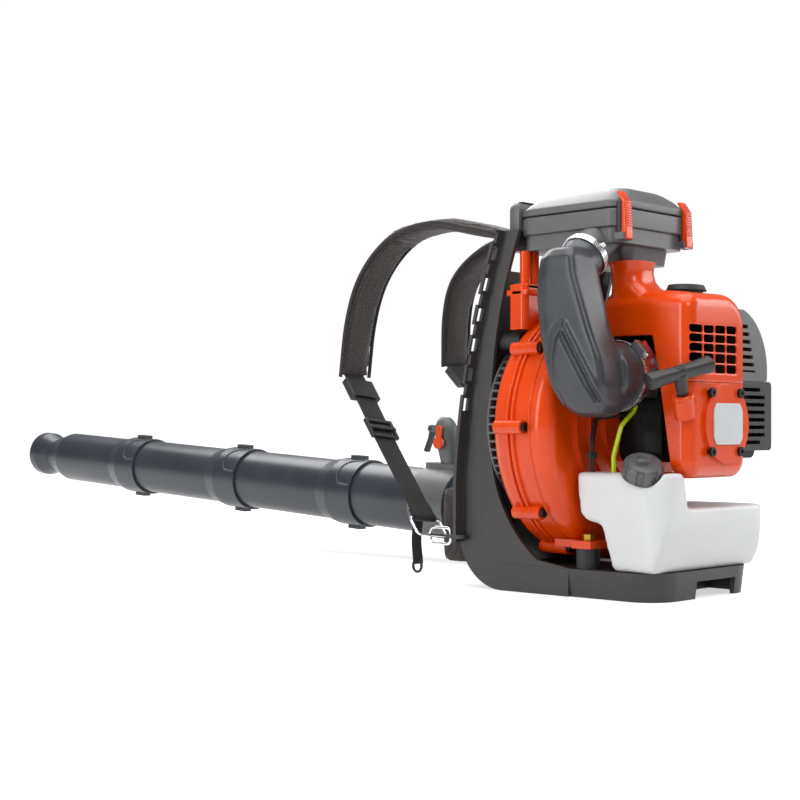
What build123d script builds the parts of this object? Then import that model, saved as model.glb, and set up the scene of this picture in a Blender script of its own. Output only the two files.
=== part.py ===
from build123d import *
import os
from math import atan2, cos, radians, sin, tan

os.makedirs("parts", exist_ok=True)

# Backpack leaf blower, in millimetres. X points to the wearer's left, Y to the rear and Z up.
# The ground is Z = 0, and the crankshaft runs along Y above the origin.

# Fits
RUNNING = 0.08  # radial play of a pivot
GAP = 0.3  # room between pieces that lie against each other
PLASTIC = 3.0  # wall of the moulded covers

# Carrier frame: outline of the side wall as (Y, Z) points, front edge first
FRONT_TOP, FRONT_MID, FRONT_LOW = (-75, 478), (-124, 314), (-148, 140)
HEEL_TOP, HEEL_LOW = (-148, 62), (-76, 0)
ARCH_LOW, ARCH_MID, REAR_LOW = (-15, 44), (-70, 104), (-94, 190)
REAR_MID, REAR_TOP = (-88, 320), (-45, 478)
SIDE_X = 116
FRAME_WALL = 6
PANEL_SET = 8
PANEL_WALL = 4
FLANGE_X = 132
FLANGE_WALL = 5
LADDER_LOW = 248
LADDER_PITCH = 40
LADDER_COUNT = 6
LADDER_TAB = 26
LADDER_SLOT = 17
BAR_LOW = 453
BAR_DEEP = 15
CARRY_LOW = 427
CARRY_HALF = 96

# Base of the frame
BASE_HALF = 112
BASE_FRONT = HEEL_LOW[0]
BASE_REAR = 168
BASE_CORNER = 42
BASE_FLARE = 7
DECK_TOP = 36
DECK_WALL = 4
FOOT_ARCH_LEFT = 26
FOOT_ARCH_RIGHT = -64
FOOT_ARCH_TOP = 22
RIB = 6

# Fan
CRANK_Z = 221
SCROLL_X, SCROLL_Z = -4, 217
SCROLL_R = 174
SCROLL_STEP = 14
SCROLL_SLOPE = 12
FAN_FRONT, FAN_SEAM, FAN_REAR = -52, -15, 45
FAN_RIM = 20
INLET_R = 92
RING_STEPS = ((118, 6), (96, 12), (74, 18))
SEAT_R = 40
IMPELLER_R = 116
IMPELLER_HUB = 24
BLADE_COUNT = 14
SHAFT_R = 8
CAGE_R = 128
CAGE_BARS = 72
CAGE_BAR = 3
CAGE_FRONT = -88
SEAM_SCREW_R = 3
SEAM_BOSS_R = 9
SEAM_HEAD = 4
SEAM_BOSS_FRONT, SEAM_BOSS_REAR = -34, 10
SEAM_BOSS_ANGLES = (-62, -38, 0, 38, 128, 165)

# Blower tube: it leaves the outlet to the right, turns forward and rises a little
OUTLET_X, OUTLET_Y, OUTLET_Z = -95, -4, 66
OUTLET_R = 54
TUBE_RISE = 3.4
TUBE_R = 54
TUBE_WALL = 3
SPIGOT_R = 49
SPIGOT = 18
ELBOW_R = 84
ELBOW_ROOM = 68
ELBOW_ROOM_X = -88
CUFF = 16
CUFF_WALL = 4
CLAMP_WALL = 1.5
CLAMP_WIDE = 10
CLAMP_SCREW = 9
BELLOWS_END = 222
BELLOWS_RIBS = 10
RIB_HEIGHT = 6
TUBE_JOINTS = (660, 969, 1284)
NOZZLE_END = 1641
TUBE_STEP = 1.5
COLLAR = 60
COLLAR_LAP = 30
NECK_R = 33
MOUTH_R = 45

# Control handle on the blower tube
HANDLE_AT = 452
BAND = 76
BAND_WALL = 5
GRIP_R = 21
GRIP_HEIGHT = 76
GRIP_LEAN = 14

# Rubber mounts
MOUNT_R = 15
MOUNT_LEFT = (98, 54)
MOUNT_RIGHT = (-92, 80)
MOUNT_TOP = 62
ARM = 10
UPPER_MOUNT = (96, 332)
UPPER_MOUNT_R = 12
BOLT_R = 4

# Engine
CASE_HALF, CASE_LOW, CASE_TOP, CASE_REAR = 42, 172, 262, 128
CYLINDER_Y = 96
BORE_R = 24
PLUG_R = 7
PLUG_HOLE = 26
PLUG_COVER = (22, 152)
FIN_HALF, FIN_PITCH, FIN_COUNT, FIN_WALL = 42, 9, 9, 3
COVER_LEFT, COVER_RIGHT, COVER_FRONT, COVER_REAR = 79, -53, 66, 195
COVER_TOP, COVER_SEAM, STARTER_LOW, STARTER_FRONT = 390, 273, 153, 140
COVER_ROUND, COVER_RIM, COVER_SHOULDER = 22, 15, 44
SADDLE, SADDLE_MIDDLE = (52, 42), 40
PULLEY_R, PULLEY_FRONT, PULLEY_REAR, PULLEY_POST = 36, 150, 178, 9
BADGE_WIDE, BADGE_TALL, BADGE_WALL = 66, 52, 1.5
WINDOW_TOP, WINDOW_REAR, WINDOW_FOOT = 332, 139, 168
GRILLE_LEFT, GRILLE_LOW, GRILLE_COLUMNS, GRILLE_ROWS = 62, 290, 4, 5
MUFFLER_LEFT, MUFFLER_RIGHT, MUFFLER_FRONT, MUFFLER_REAR = -64, -146, 72, 150
GUARD_LEFT = -58
MUFFLER_LOW, MUFFLER_TOP = 176, 292
GUARD_RIGHT, GUARD_REAR, GUARD_TOP, GUARD_LOW = -150, 166, 372, 278
SHIELD_RIGHT, SHIELD_LOW = -162, 186
PULL = (0.25, 0.15, 0.957)
HANDLE_MIDDLE = (97, 192, 283)
BAR_LEAN = (-0.86, 0.42, 0.29)
BAR_LONG, BAR_R = 92, 8.5
ROPE_R = 2
STARTER_SCREWS = ((38, 260), (-28, 260), (38, 186), (-28, 186))

# Intake
FILTER_LEFT, FILTER_RIGHT, FILTER_FRONT, FILTER_REAR = 105, -52, -58, 108
FILTER_SEAM, FILTER_LOW, FILTER_HOOD = 470, 430, 55
FILTER_TOP = FILTER_SEAM + FILTER_HOOD
FILTER_CORNER, FILTER_BEVEL = 14, 0.4 * FILTER_HOOD
ELEMENT_EDGE, ELEMENT_WALL = 30, 15
POST_R = 7
POSTS = ((100, -48), (82, -48))
CARB_Y, CARB_Z = 100, 281
CARB_HALF, CARB_LEFT = 22, 84
CHOKE_PIVOT = (60, 300)
NECK_START = (106, 61, 440)
NECK_LONG = 18
LATCHES = (94, -41)
LATCH_WIDE, LATCH_TOP = 15, FILTER_SEAM + 0.8 * FILTER_HOOD
TOWER_TOP = 405
BOWL = (-40, 58, -16, 88)
HOSE_NECK_R, HOSE_CUP_R, HOSE_WALL = 29, 43, 4
HOSE_WIDE, HOSE_DEEP = 45, 34
HOOD_DEEP, HOOD_TAPER = 40, 22

# Fuel tank
TANK_LEFT, TANK_RIGHT, TANK_FRONT, TANK_REAR = 124, -134, 52, 186
TANK_HIGH, TANK_LOW, TANK_STEP, TANK_CORNER = 160, 116, COVER_LEFT - 3, 45
NOTCH_TOP, NOTCH_LOW, NOTCH_DEEP = 108, 94, 54
CAP_AT = (104, 141, 156)
CAP_LEAN = (0.34, 0.42, 0.84)
CAP_R, CAP_NECK_R, CAP_HIGH, CAP_LOBES = 23, 18, 20, 8
FUEL_LINE_R = 3

# Harness
STRAP_X = 82
PAD_WIDE, PAD_THICK = 60, 14
WEB_WIDE, WEB_THICK = 38, 2.2
PAD_START = (FRONT_TOP[0] - 2.5, FRONT_TOP[1] - 4)
PAD_PATH = (PAD_START, (-205, 503), (-352, 432), (-390, 292))
RIGHT_PAD_PATH = (PAD_START, (-205, 503), (-348, 440), (-335, 310))
BACK_PAD_Z = 290
HIP_HALF, HIP_FRONT = 80, -230
WIRE_R = 2
TAB_HOLE, TAB_WALL = 11, 5
HOOK_LONG, HOOK_HALF = 38, 11
RING_LONG = 30
BUCKLE_WIDE, BUCKLE_THICK, BUCKLE_LONG = 52, 12, 34
TAIL_BACK, TAIL_LONG = 26, 84
PULL_RING_R = 8


def across(x):
    """Plane of a side view, which extrudes towards +X."""
    return Plane.YZ.offset(x)


def facing_rear(y):
    """Plane of a rear view, which extrudes towards the front."""
    return Plane(origin=(0, y, 0), x_dir=(1, 0, 0), z_dir=(0, -1, 0))


def back(point, distance):
    """A side-view point moved towards the rear."""
    return (point[0] + distance, point[1])


def arc_y(points, z):
    """Where the arc through three side-view points crosses a height, on its front side."""
    arc = ThreePointArc(*points, mode=Mode.PRIVATE)
    centre, radius = arc.arc_center, arc.radius
    reach = (radius**2 - (z - centre.Y) ** 2) ** 0.5
    return centre.X - reach if centre.X > points[1][0] else centre.X + reach


def finish(piece, name):
    """Label a finished piece and write it out."""
    piece.part.label = name
    export_step(piece.part, "parts/" + name + ".step")


# Blower tube axis: origin on the outlet's axis, distance measured forward along the tube
rise = radians(TUBE_RISE)
tube_x = OUTLET_X - SPIGOT - ELBOW_R
tube_forward = Vector(0, -cos(rise), sin(rise))
tube_up = Vector(0, sin(rise), cos(rise))
tube_origin = Vector(tube_x, OUTLET_Y, OUTLET_Z)


def along_tube(distance):
    """Plane square to the blower tube, whose X points to the left and whose Y points up."""
    return Plane(origin=tube_origin + tube_forward * distance, x_dir=(1, 0, 0), z_dir=tube_forward)


# Carrier frame: one moulding with base, heel, side walls, back panel, strap ladder and carry bar
with BuildPart() as carrier_frame:
    with BuildSketch() as footprint:
        with Locations((0, (BASE_FRONT + BASE_REAR) / 2)):
            Rectangle(2 * BASE_HALF, BASE_REAR - BASE_FRONT)
        fillet(footprint.vertices().group_by(Axis.Y)[-1], BASE_CORNER)
    extrude(amount=DECK_TOP, taper=-BASE_FLARE)
    with BuildSketch() as underside:
        with Locations((0, (BASE_FRONT + BASE_REAR) / 2)):
            Rectangle(2 * (BASE_HALF - FRAME_WALL), BASE_REAR - BASE_FRONT - 2 * FRAME_WALL)
        fillet(underside.vertices().group_by(Axis.Y)[-1], BASE_CORNER - FRAME_WALL)
    extrude(amount=DECK_TOP - DECK_WALL, mode=Mode.SUBTRACT)
    with BuildSketch():
        with Locations((0, (BASE_FRONT + BASE_REAR) / 2)):
            Rectangle(RIB, BASE_REAR - BASE_FRONT - FRAME_WALL)
        for rib_y in (0, MOUNT_LEFT[1] + MOUNT_R + RIB, MOUNT_RIGHT[1] + MOUNT_R + RIB):
            with Locations((0, rib_y)):
                Rectangle(2 * BASE_HALF - FRAME_WALL, RIB)
    extrude(amount=DECK_TOP - DECK_WALL / 2)
    for wall_x in (SIDE_X - FRAME_WALL, -SIDE_X):
        with BuildSketch(across(wall_x)):
            with BuildLine():
                ThreePointArc(FRONT_TOP, FRONT_MID, FRONT_LOW)
                Line(FRONT_LOW, HEEL_TOP)
                TangentArc(HEEL_LOW, HEEL_TOP, tangent=(-1, 0))
                Polyline(HEEL_LOW, (DECK_TOP, 0), (DECK_TOP, DECK_TOP), ARCH_LOW)
                ThreePointArc(ARCH_LOW, ARCH_MID, REAR_LOW)
                ThreePointArc(REAR_LOW, REAR_MID, REAR_TOP)
                Line(REAR_TOP, FRONT_TOP)
            make_face()
        extrude(amount=FRAME_WALL)
    with BuildSketch(across(-SIDE_X)):
        with BuildLine():
            panel_set = (back(FRONT_TOP, PANEL_SET), back(FRONT_MID, PANEL_SET), back(FRONT_LOW, PANEL_SET))
            panel_rear = [back(point, PANEL_WALL) for point in panel_set]
            ThreePointArc(*panel_set)
            heel_top = back(HEEL_TOP, PANEL_SET)
            heel_inner = (HEEL_LOW[0], PANEL_WALL)
            Line(panel_set[2], heel_top)
            TangentArc(HEEL_LOW, heel_top, tangent=(-1, 0))
            Line(HEEL_LOW, heel_inner)
            TangentArc(heel_inner, back(heel_top, PANEL_WALL), tangent=(-1, 0))
            Line(back(heel_top, PANEL_WALL), panel_rear[2])
            ThreePointArc(*reversed(panel_rear))
            Line(panel_rear[0], panel_set[0])
        make_face()
    extrude(amount=2 * SIDE_X)
    with BuildSketch(across(-SIDE_X)):
        with BuildLine():
            bar_rear = (FRONT_TOP[0] + BAR_DEEP, FRONT_TOP[1])
            bar_slant = (BAR_LOW - FRONT_TOP[1]) / 3
            Polyline(FRONT_TOP, bar_rear, (bar_rear[0] + bar_slant, BAR_LOW), (FRONT_TOP[0] + bar_slant, BAR_LOW), close=True)
        make_face()
    extrude(amount=2 * SIDE_X)
    with Locations((0, FRONT_TOP[0], (CARRY_LOW + BAR_LOW) / 2)):
        Box(2 * CARRY_HALF, 120, BAR_LOW - CARRY_LOW, mode=Mode.SUBTRACT)
    for flange_x in (SIDE_X, -FLANGE_X):
        with BuildSketch(across(flange_x)):
            with BuildLine():
                ThreePointArc(FRONT_TOP, FRONT_MID, FRONT_LOW)
                Polyline(FRONT_LOW, HEEL_TOP, back(HEEL_TOP, FLANGE_WALL), back(FRONT_LOW, FLANGE_WALL))
                ThreePointArc(*[back(point, FLANGE_WALL) for point in (FRONT_LOW, FRONT_MID, FRONT_TOP)])
                Line(back(FRONT_TOP, FLANGE_WALL), FRONT_TOP)
            make_face()
        extrude(amount=FLANGE_X - SIDE_X)
    for step in range(LADDER_COUNT):
        rung_z = LADDER_LOW + step * LADDER_PITCH
        for side in (1, -1):
            with Locations((side * (SIDE_X + FLANGE_X) / 2, FRONT_MID[0], rung_z)):
                Box(FLANGE_X - SIDE_X - 6, 120, LADDER_SLOT, mode=Mode.SUBTRACT)
            with Locations((side * (FLANGE_X + 3), FRONT_MID[0], rung_z + LADDER_PITCH / 2)):
                Box(FLANGE_X - SIDE_X, 120, LADDER_PITCH - LADDER_TAB, mode=Mode.SUBTRACT)
    foot_middle = (FOOT_ARCH_LEFT + FOOT_ARCH_RIGHT) / 2
    with Locations((foot_middle, BASE_REAR, FOOT_ARCH_TOP / 2)):
        Box(FOOT_ARCH_LEFT - FOOT_ARCH_RIGHT, 2 * BASE_CORNER, FOOT_ARCH_TOP, mode=Mode.SUBTRACT)
    with BuildSketch(across(ELBOW_ROOM_X)):
        with Locations((OUTLET_Y, OUTLET_Z)):
            Circle(ELBOW_ROOM)
    extrude(amount=-2 * SIDE_X, mode=Mode.SUBTRACT)
    duct_left = -RIB / 2 - 5
    with Locations(((duct_left - 2 * SIDE_X) / 2, (FAN_FRONT + FAN_REAR) / 2, DECK_TOP / 2)):
        Box(2 * SIDE_X + duct_left, FAN_REAR - FAN_FRONT + 16, DECK_TOP + 20, mode=Mode.SUBTRACT)
    # Hook tabs at the lower ends of the straps
    left_tab = (124, HEEL_TOP[0], 66)
    right_tab = (-100, HEEL_TOP[0], 158)
    for tab in (left_tab, right_tab):
        with BuildSketch(Plane.XY.offset(tab[2])) as eye:
            with Locations((tab[0], tab[1] - 2)):
                SlotOverall(34, 16, rotation=90)
            with Locations((tab[0], tab[1] - TAB_HOLE)):
                Circle(WIRE_R + GAP, mode=Mode.SUBTRACT)
        extrude(amount=TAB_WALL)
finish(carrier_frame, "carrier_frame")


def scroll_face(inset):
    """Face of the fan housing seen from the rear: a spiral of four arcs that opens into the outlet."""
    radius = SCROLL_R - inset
    with BuildLine() as outline:
        widest = CenterArc((SCROLL_X, SCROLL_Z), radius, SCROLL_SLOPE - 90, 90 - SCROLL_SLOPE)
        CenterArc((SCROLL_X + SCROLL_STEP, SCROLL_Z), radius - SCROLL_STEP, 0, 90)
        CenterArc((SCROLL_X + SCROLL_STEP, SCROLL_Z + SCROLL_STEP), radius - 2 * SCROLL_STEP, 90, 90)
        narrowest = CenterArc((SCROLL_X, SCROLL_Z + SCROLL_STEP), radius - 3 * SCROLL_STEP, 180, 45)
        floor_start = widest @ 0
        outlet_x = OUTLET_X + inset
        outlet_low = (outlet_x, floor_start.Y - (floor_start.X - outlet_x) * tan(radians(SCROLL_SLOPE)))
        outlet_high = (outlet_x, OUTLET_Z + OUTLET_R - inset)
        Polyline(narrowest @ 1, outlet_high, outlet_low, floor_start)
    make_face(outline.edges())


def spiral_point(angle, outward):
    """Point on the fan housing's spiral at an angle within its own arc, moved outward, seen from the rear."""
    quarter = int((angle + 90) // 90)
    centre_x = SCROLL_X + (SCROLL_STEP if quarter in (1, 2) else 0)
    centre_z = SCROLL_Z + (SCROLL_STEP if quarter > 1 else 0)
    radius = SCROLL_R - quarter * SCROLL_STEP + outward
    return (centre_x + radius * cos(radians(angle)), centre_z + radius * sin(radians(angle)))


boss_points = [spiral_point(angle, SEAM_BOSS_R / 2) for angle in SEAM_BOSS_ANGLES]

# Fan housing: the scroll's outside, its air space and the round outlet
with BuildPart() as scroll_outside:
    with BuildSketch(facing_rear(FAN_REAR)):
        scroll_face(0)
    extrude(amount=FAN_REAR - FAN_FRONT)
    rims = scroll_outside.faces().sort_by(Axis.Y)
    fillet(rims[0].edges() + rims[-1].edges(), FAN_RIM)
    with BuildSketch(across(OUTLET_X - SPIGOT + GAP)):
        with Locations((OUTLET_Y, OUTLET_Z)):
            Circle(SPIGOT_R)
    extrude(amount=SPIGOT + 30)
    with BuildSketch(across(OUTLET_X)):
        with Locations((OUTLET_Y, OUTLET_Z)):
            Circle(OUTLET_R)
    extrude(amount=30)
    # Tower that carries the filter posts
    with BuildSketch(Plane.XY.offset(UPPER_MOUNT[1] + UPPER_MOUNT_R + 2)):
        with Locations(((POSTS[0][0] + POSTS[1][0]) / 2, POSTS[0][1])):
            RectangleRounded(POSTS[0][0] - POSTS[1][0] + 36, 30, 8)
    extrude(amount=TOWER_TOP - UPPER_MOUNT[1] - UPPER_MOUNT_R - 2)

with BuildPart() as scroll_inside:
    with BuildSketch(facing_rear(FAN_REAR - PLASTIC)):
        scroll_face(PLASTIC)
    extrude(amount=FAN_REAR - FAN_FRONT - 2 * PLASTIC)
    rims = scroll_inside.faces().sort_by(Axis.Y)
    fillet(rims[0].edges() + rims[-1].edges(), FAN_RIM - PLASTIC)
    with BuildSketch(across(OUTLET_X - SPIGOT)):
        with Locations((OUTLET_Y, OUTLET_Z)):
            Circle(SPIGOT_R - PLASTIC)
    extrude(amount=SPIGOT + 30)

# Front half: round air inlet, half of every seam boss and two studs for the upper rubber mounts
with BuildPart() as fan_housing_front:
    add(scroll_outside.part)
    with BuildSketch(facing_rear(FAN_SEAM)):
        with Locations(*boss_points):
            Circle(SEAM_BOSS_R)
    extrude(amount=FAN_SEAM - SEAM_BOSS_FRONT)
    add(scroll_inside.part, mode=Mode.SUBTRACT)
    with BuildSketch(facing_rear(FAN_SEAM)):
        with Locations((0, CRANK_Z)):
            Circle(INLET_R)
    extrude(amount=FAN_SEAM - FAN_FRONT + 10, mode=Mode.SUBTRACT)
    with BuildSketch(facing_rear(FAN_FRONT + PLASTIC)):
        with Locations((0, CRANK_Z)):
            Circle(INLET_R + PLASTIC)
            Circle(INLET_R, mode=Mode.SUBTRACT)
    extrude(amount=PLASTIC + 6)
    split(bisect_by=facing_rear(FAN_SEAM), keep=Keep.TOP)
    with BuildSketch(facing_rear(FAN_SEAM)):
        with Locations(*boss_points):
            Circle(SEAM_SCREW_R)
    extrude(amount=FAN_SEAM - SEAM_BOSS_FRONT, mode=Mode.SUBTRACT)
finish(fan_housing_front, "fan_housing_front")

# Rear half: wall towards the engine with concentric steps, mount arms and the other half of the bosses
with BuildPart() as fan_housing_rear:
    add(scroll_outside.part)
    with BuildSketch(facing_rear(SEAM_BOSS_REAR)):
        with Locations(*boss_points):
            Circle(SEAM_BOSS_R)
    extrude(amount=SEAM_BOSS_REAR - FAN_SEAM)
    for ring_r, ring_high in RING_STEPS:
        with BuildSketch(facing_rear(FAN_REAR + ring_high)):
            with Locations((0, CRANK_Z)):
                Circle(ring_r)
        extrude(amount=ring_high + PLASTIC)
    with BuildSketch(Plane.XY.offset(MOUNT_TOP)):
        for mount, inner_x in ((MOUNT_LEFT, 60), (MOUNT_RIGHT, OUTLET_X + 30)):
            with Locations(((inner_x + mount[0]) / 2, (mount[1] + MOUNT_R) / 2)):
                Rectangle(abs(mount[0] - inner_x), mount[1] + MOUNT_R)
            with Locations(mount):
                Rectangle(2 * MOUNT_R, 2 * MOUNT_R)
    extrude(amount=ARM)
    add(scroll_inside.part, mode=Mode.SUBTRACT)
    split(bisect_by=facing_rear(FAN_SEAM), keep=Keep.BOTTOM)
    with BuildSketch(facing_rear(FAN_REAR + 30)):
        with Locations((0, CRANK_Z)):
            Circle(SEAT_R)
    extrude(amount=60, mode=Mode.SUBTRACT)
    with BuildSketch(facing_rear(SEAM_BOSS_REAR)):
        with Locations(*boss_points):
            Circle(SEAM_SCREW_R)
    extrude(amount=SEAM_BOSS_REAR - FAN_SEAM, mode=Mode.SUBTRACT)
    with BuildSketch(facing_rear(SEAM_BOSS_REAR + 2 * SEAM_HEAD)):
        with Locations(*boss_points):
            Circle(2 * SEAM_SCREW_R + GAP)
    extrude(amount=2 * SEAM_HEAD, mode=Mode.SUBTRACT)
finish(fan_housing_rear, "fan_housing_rear")

# Seam screws: pan heads seated on the rear bosses
with BuildPart() as seam_screws:
    with BuildSketch(facing_rear(SEAM_BOSS_REAR + SEAM_HEAD)):
        with Locations(*boss_points):
            Circle(2 * SEAM_SCREW_R)
    extrude(amount=SEAM_HEAD)
    with BuildSketch(facing_rear(SEAM_BOSS_REAR)):
        with Locations(*boss_points):
            Circle(SEAM_SCREW_R - RUNNING)
    extrude(amount=SEAM_BOSS_REAR - SEAM_BOSS_FRONT - 2)
    with BuildSketch(facing_rear(SEAM_BOSS_REAR + SEAM_HEAD)):
        with Locations(*boss_points):
            RegularPolygon(SEAM_SCREW_R, 6)
    extrude(amount=2, mode=Mode.SUBTRACT)
finish(seam_screws, "seam_screws")

# Inlet cage: bars along Y between two rings, which keeps leaves out of the fan
cage_rear = FAN_FRONT - GAP
with BuildPart() as inlet_grille:
    for ring_y in (cage_rear, CAGE_FRONT + CAGE_BAR):
        with BuildSketch(facing_rear(ring_y)):
            with Locations((0, CRANK_Z)):
                Circle(CAGE_R + CAGE_BAR)
                Circle(CAGE_R - CAGE_BAR, mode=Mode.SUBTRACT)
        extrude(amount=CAGE_BAR)
    with BuildSketch(facing_rear(cage_rear)):
        with Locations((0, CRANK_Z)):
            with PolarLocations(CAGE_R, CAGE_BARS):
                Rectangle(2 * CAGE_BAR, CAGE_BAR)
    extrude(amount=cage_rear - CAGE_FRONT)
finish(inlet_grille, "inlet_grille")

# Impeller: hub, back plate and curved blades, turning with the crankshaft
with BuildPart() as impeller:
    with BuildSketch(facing_rear(FAN_REAR - PLASTIC - 6)):
        with Locations((0, CRANK_Z)):
            Circle(IMPELLER_R)
    extrude(amount=4)
    with BuildSketch(facing_rear(FAN_REAR - PLASTIC - 6)):
        with Locations((0, CRANK_Z)):
            Circle(IMPELLER_HUB)
    extrude(amount=60)
    for blade in range(BLADE_COUNT):
        turn = 360 / BLADE_COUNT * blade
        blade_plane = Plane(
            origin=(0, FAN_REAR - PLASTIC - 8, CRANK_Z),
            x_dir=(cos(radians(turn)), 0, sin(radians(turn))),
            z_dir=(0, -1, 0),
        )
        with BuildSketch(blade_plane):
            with BuildLine():
                inner = ThreePointArc((IMPELLER_HUB - 4, 0), (70, 16), (IMPELLER_R - 1, 8))
                outer = ThreePointArc((IMPELLER_HUB - 4, 4), (70, 19), (IMPELLER_R - 1, 11))
                Line(inner @ 0, outer @ 0)
                Line(inner @ 1, outer @ 1)
            make_face()
        extrude(amount=66)
    with BuildSketch(facing_rear(FAN_REAR)):
        with Locations((0, CRANK_Z)):
            Circle(SHAFT_R + RUNNING)
    extrude(amount=100, mode=Mode.SUBTRACT)
finish(impeller, "impeller")

# Blower tube pieces are turned about the tube's own axis
tube_axis = Axis(tube_origin, tube_forward)
tube_section = Plane(origin=tube_origin, x_dir=tube_forward, z_dir=(-1, 0, 0))
elbow_plane = Plane(origin=(OUTLET_X, OUTLET_Y, OUTLET_Z), x_dir=(-1, 0, 0), z_dir=tube_up)
elbow_end = ELBOW_R + CUFF
tube_start = BELLOWS_END - CUFF

# Outlet elbow: swivels on the fan outlet's spigot and turns the air forward
with BuildPart() as outlet_elbow:
    with BuildLine(elbow_plane) as elbow_path:
        Line((SPIGOT, 0), (SPIGOT + 1, 0))
        JernArc(start=(SPIGOT + 1, 0), tangent=(1, 0), radius=ELBOW_R - 1, arc_size=90)
        Line((SPIGOT + ELBOW_R, ELBOW_R - 1), (SPIGOT + ELBOW_R, elbow_end))
    socket_plane = Plane(origin=elbow_path.line @ 0, x_dir=(0, 1, 0), z_dir=(-1, 0, 0))
    with BuildSketch(socket_plane):
        Circle(TUBE_R)
        Circle(TUBE_R - TUBE_WALL, mode=Mode.SUBTRACT)
    sweep(path=elbow_path.line)
    with BuildSketch(socket_plane):
        Circle(TUBE_R)
        Circle(SPIGOT_R + RUNNING, mode=Mode.SUBTRACT)
    extrude(amount=GAP - SPIGOT)
finish(outlet_elbow, "outlet_elbow")

# Bellows: rubber hose with round ribs, a plain cuff at each end and a bore
bellows_start = elbow_end - CUFF
rib_pitch = (tube_start - elbow_end) / BELLOWS_RIBS
cuff_r = TUBE_R + GAP
with BuildPart() as bellows:
    with BuildSketch(tube_section):
        with BuildLine():
            outer_points = [(bellows_start, cuff_r + CUFF_WALL), (elbow_end, cuff_r + CUFF_WALL)]
            inner_points = [(bellows_start, cuff_r), (elbow_end, cuff_r)]
            for rib in range(BELLOWS_RIBS):
                valley = elbow_end + rib * rib_pitch
                for share, lift in ((0.25, 0), (0.45, RIB_HEIGHT), (0.75, RIB_HEIGHT), (0.95, 0)):
                    outer_points.append((valley + share * rib_pitch, TUBE_R + lift))
                    inner_points.append((valley + share * rib_pitch, TUBE_R + lift - TUBE_WALL))
            outer_points += [(tube_start, cuff_r + CUFF_WALL), (BELLOWS_END, cuff_r + CUFF_WALL)]
            inner_points += [(tube_start, cuff_r), (BELLOWS_END, cuff_r)]
            Polyline(*outer_points, *reversed(inner_points), close=True)
        make_face()
    revolve(axis=tube_axis)
finish(bellows, "bellows")


def band_clamp(plane, radius):
    """Worm-drive hose clamp: a steel band, with its screw housing on the plane's Y side."""
    with BuildSketch(plane) as band:
        Circle(radius + CLAMP_WALL)
        with Locations((0, radius + CLAMP_WALL + CLAMP_SCREW / 3)):
            Rectangle(2.4 * CLAMP_SCREW, CLAMP_SCREW)
        Circle(radius, mode=Mode.SUBTRACT)
    extrude(band.sketch, amount=CLAMP_WIDE)


for clamp_name, clamp_at in (("elbow_clamp", bellows_start + 3), ("tube_clamp", BELLOWS_END - 3 - CLAMP_WIDE)):
    with BuildPart() as bellows_clamp:
        band_clamp(along_tube(clamp_at), cuff_r + CUFF_WALL + GAP)
    finish(bellows_clamp, clamp_name)


def tube_piece(points):
    """Turn a closed outline of (distance, radius) points into a tube about the blower's axis."""
    with BuildSketch(tube_section) as profile:
        with BuildLine() as outline:
            Polyline(*points, close=True)
        make_face(outline.edges())
    revolve(profile.sketch, axis=tube_axis)


# Tube sections: each front section has a collar at its rear end that laps over the section behind it
tube_radii = [TUBE_R - step * TUBE_STEP for step in range(len(TUBE_JOINTS) + 1)]
with BuildPart() as swivel_tube:
    bore = TUBE_R - TUBE_WALL
    front_end = TUBE_JOINTS[0] + COLLAR_LAP / 3
    tube_piece([(tube_start, TUBE_R), (front_end, TUBE_R), (front_end, bore), (tube_start, bore)])
finish(swivel_tube, "swivel_tube")


def collar_points(joint, behind, radius):
    """Outer and inner outline of a collar, from its open rear edge to where it meets its own tube."""
    rear, seat, front = joint - COLLAR_LAP, joint + COLLAR_LAP / 3 + GAP, joint + COLLAR
    lap = behind + GAP
    outer = [(rear, lap + TUBE_WALL + 1), (joint + COLLAR_LAP, lap + TUBE_WALL + 1), (front, radius)]
    inner = [(seat, radius - TUBE_WALL), (seat, lap), (rear, lap)]
    return outer, inner


for index, tube_name in enumerate(("mid_tube", "front_tube")):
    with BuildPart() as tube:
        radius = tube_radii[index + 1]
        outer, inner = collar_points(TUBE_JOINTS[index], tube_radii[index], radius)
        front_end = TUBE_JOINTS[index + 1] + COLLAR_LAP / 3
        tube_piece(outer + [(front_end, radius), (front_end, radius - TUBE_WALL)] + inner)
        # Bayonet lug on top and peg below, on the collar
        collar_middle = TUBE_JOINTS[index]
        with BuildSketch(along_tube(collar_middle - 10)) as lugs:
            with Locations((0, tube_radii[index] + TUBE_WALL + 4), (0, -tube_radii[index] - TUBE_WALL - 4)):
                Rectangle(16, 6)
        extrude(amount=28)
    finish(tube, tube_name)

with BuildPart() as nozzle:
    radius = tube_radii[-1]
    outer, inner = collar_points(TUBE_JOINTS[-1], tube_radii[-2], radius)
    neck_at, mouth_at = NOZZLE_END - 48, NOZZLE_END - 18
    swell_end = neck_at - 60
    walls = [(swell_end, radius), (neck_at, NECK_R), (mouth_at, MOUTH_R), (NOZZLE_END, MOUTH_R)]
    bores = [(at, wall - TUBE_WALL) for at, wall in reversed(walls)]
    tube_piece(outer + walls + bores + inner)
    with BuildSketch(along_tube(TUBE_JOINTS[-1] - 10)):
        with Locations((0, tube_radii[-2] + TUBE_WALL + 4), (0, -tube_radii[-2] - TUBE_WALL - 4)):
            Rectangle(16, 6)
    extrude(amount=28)
finish(nozzle, "nozzle")

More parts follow.
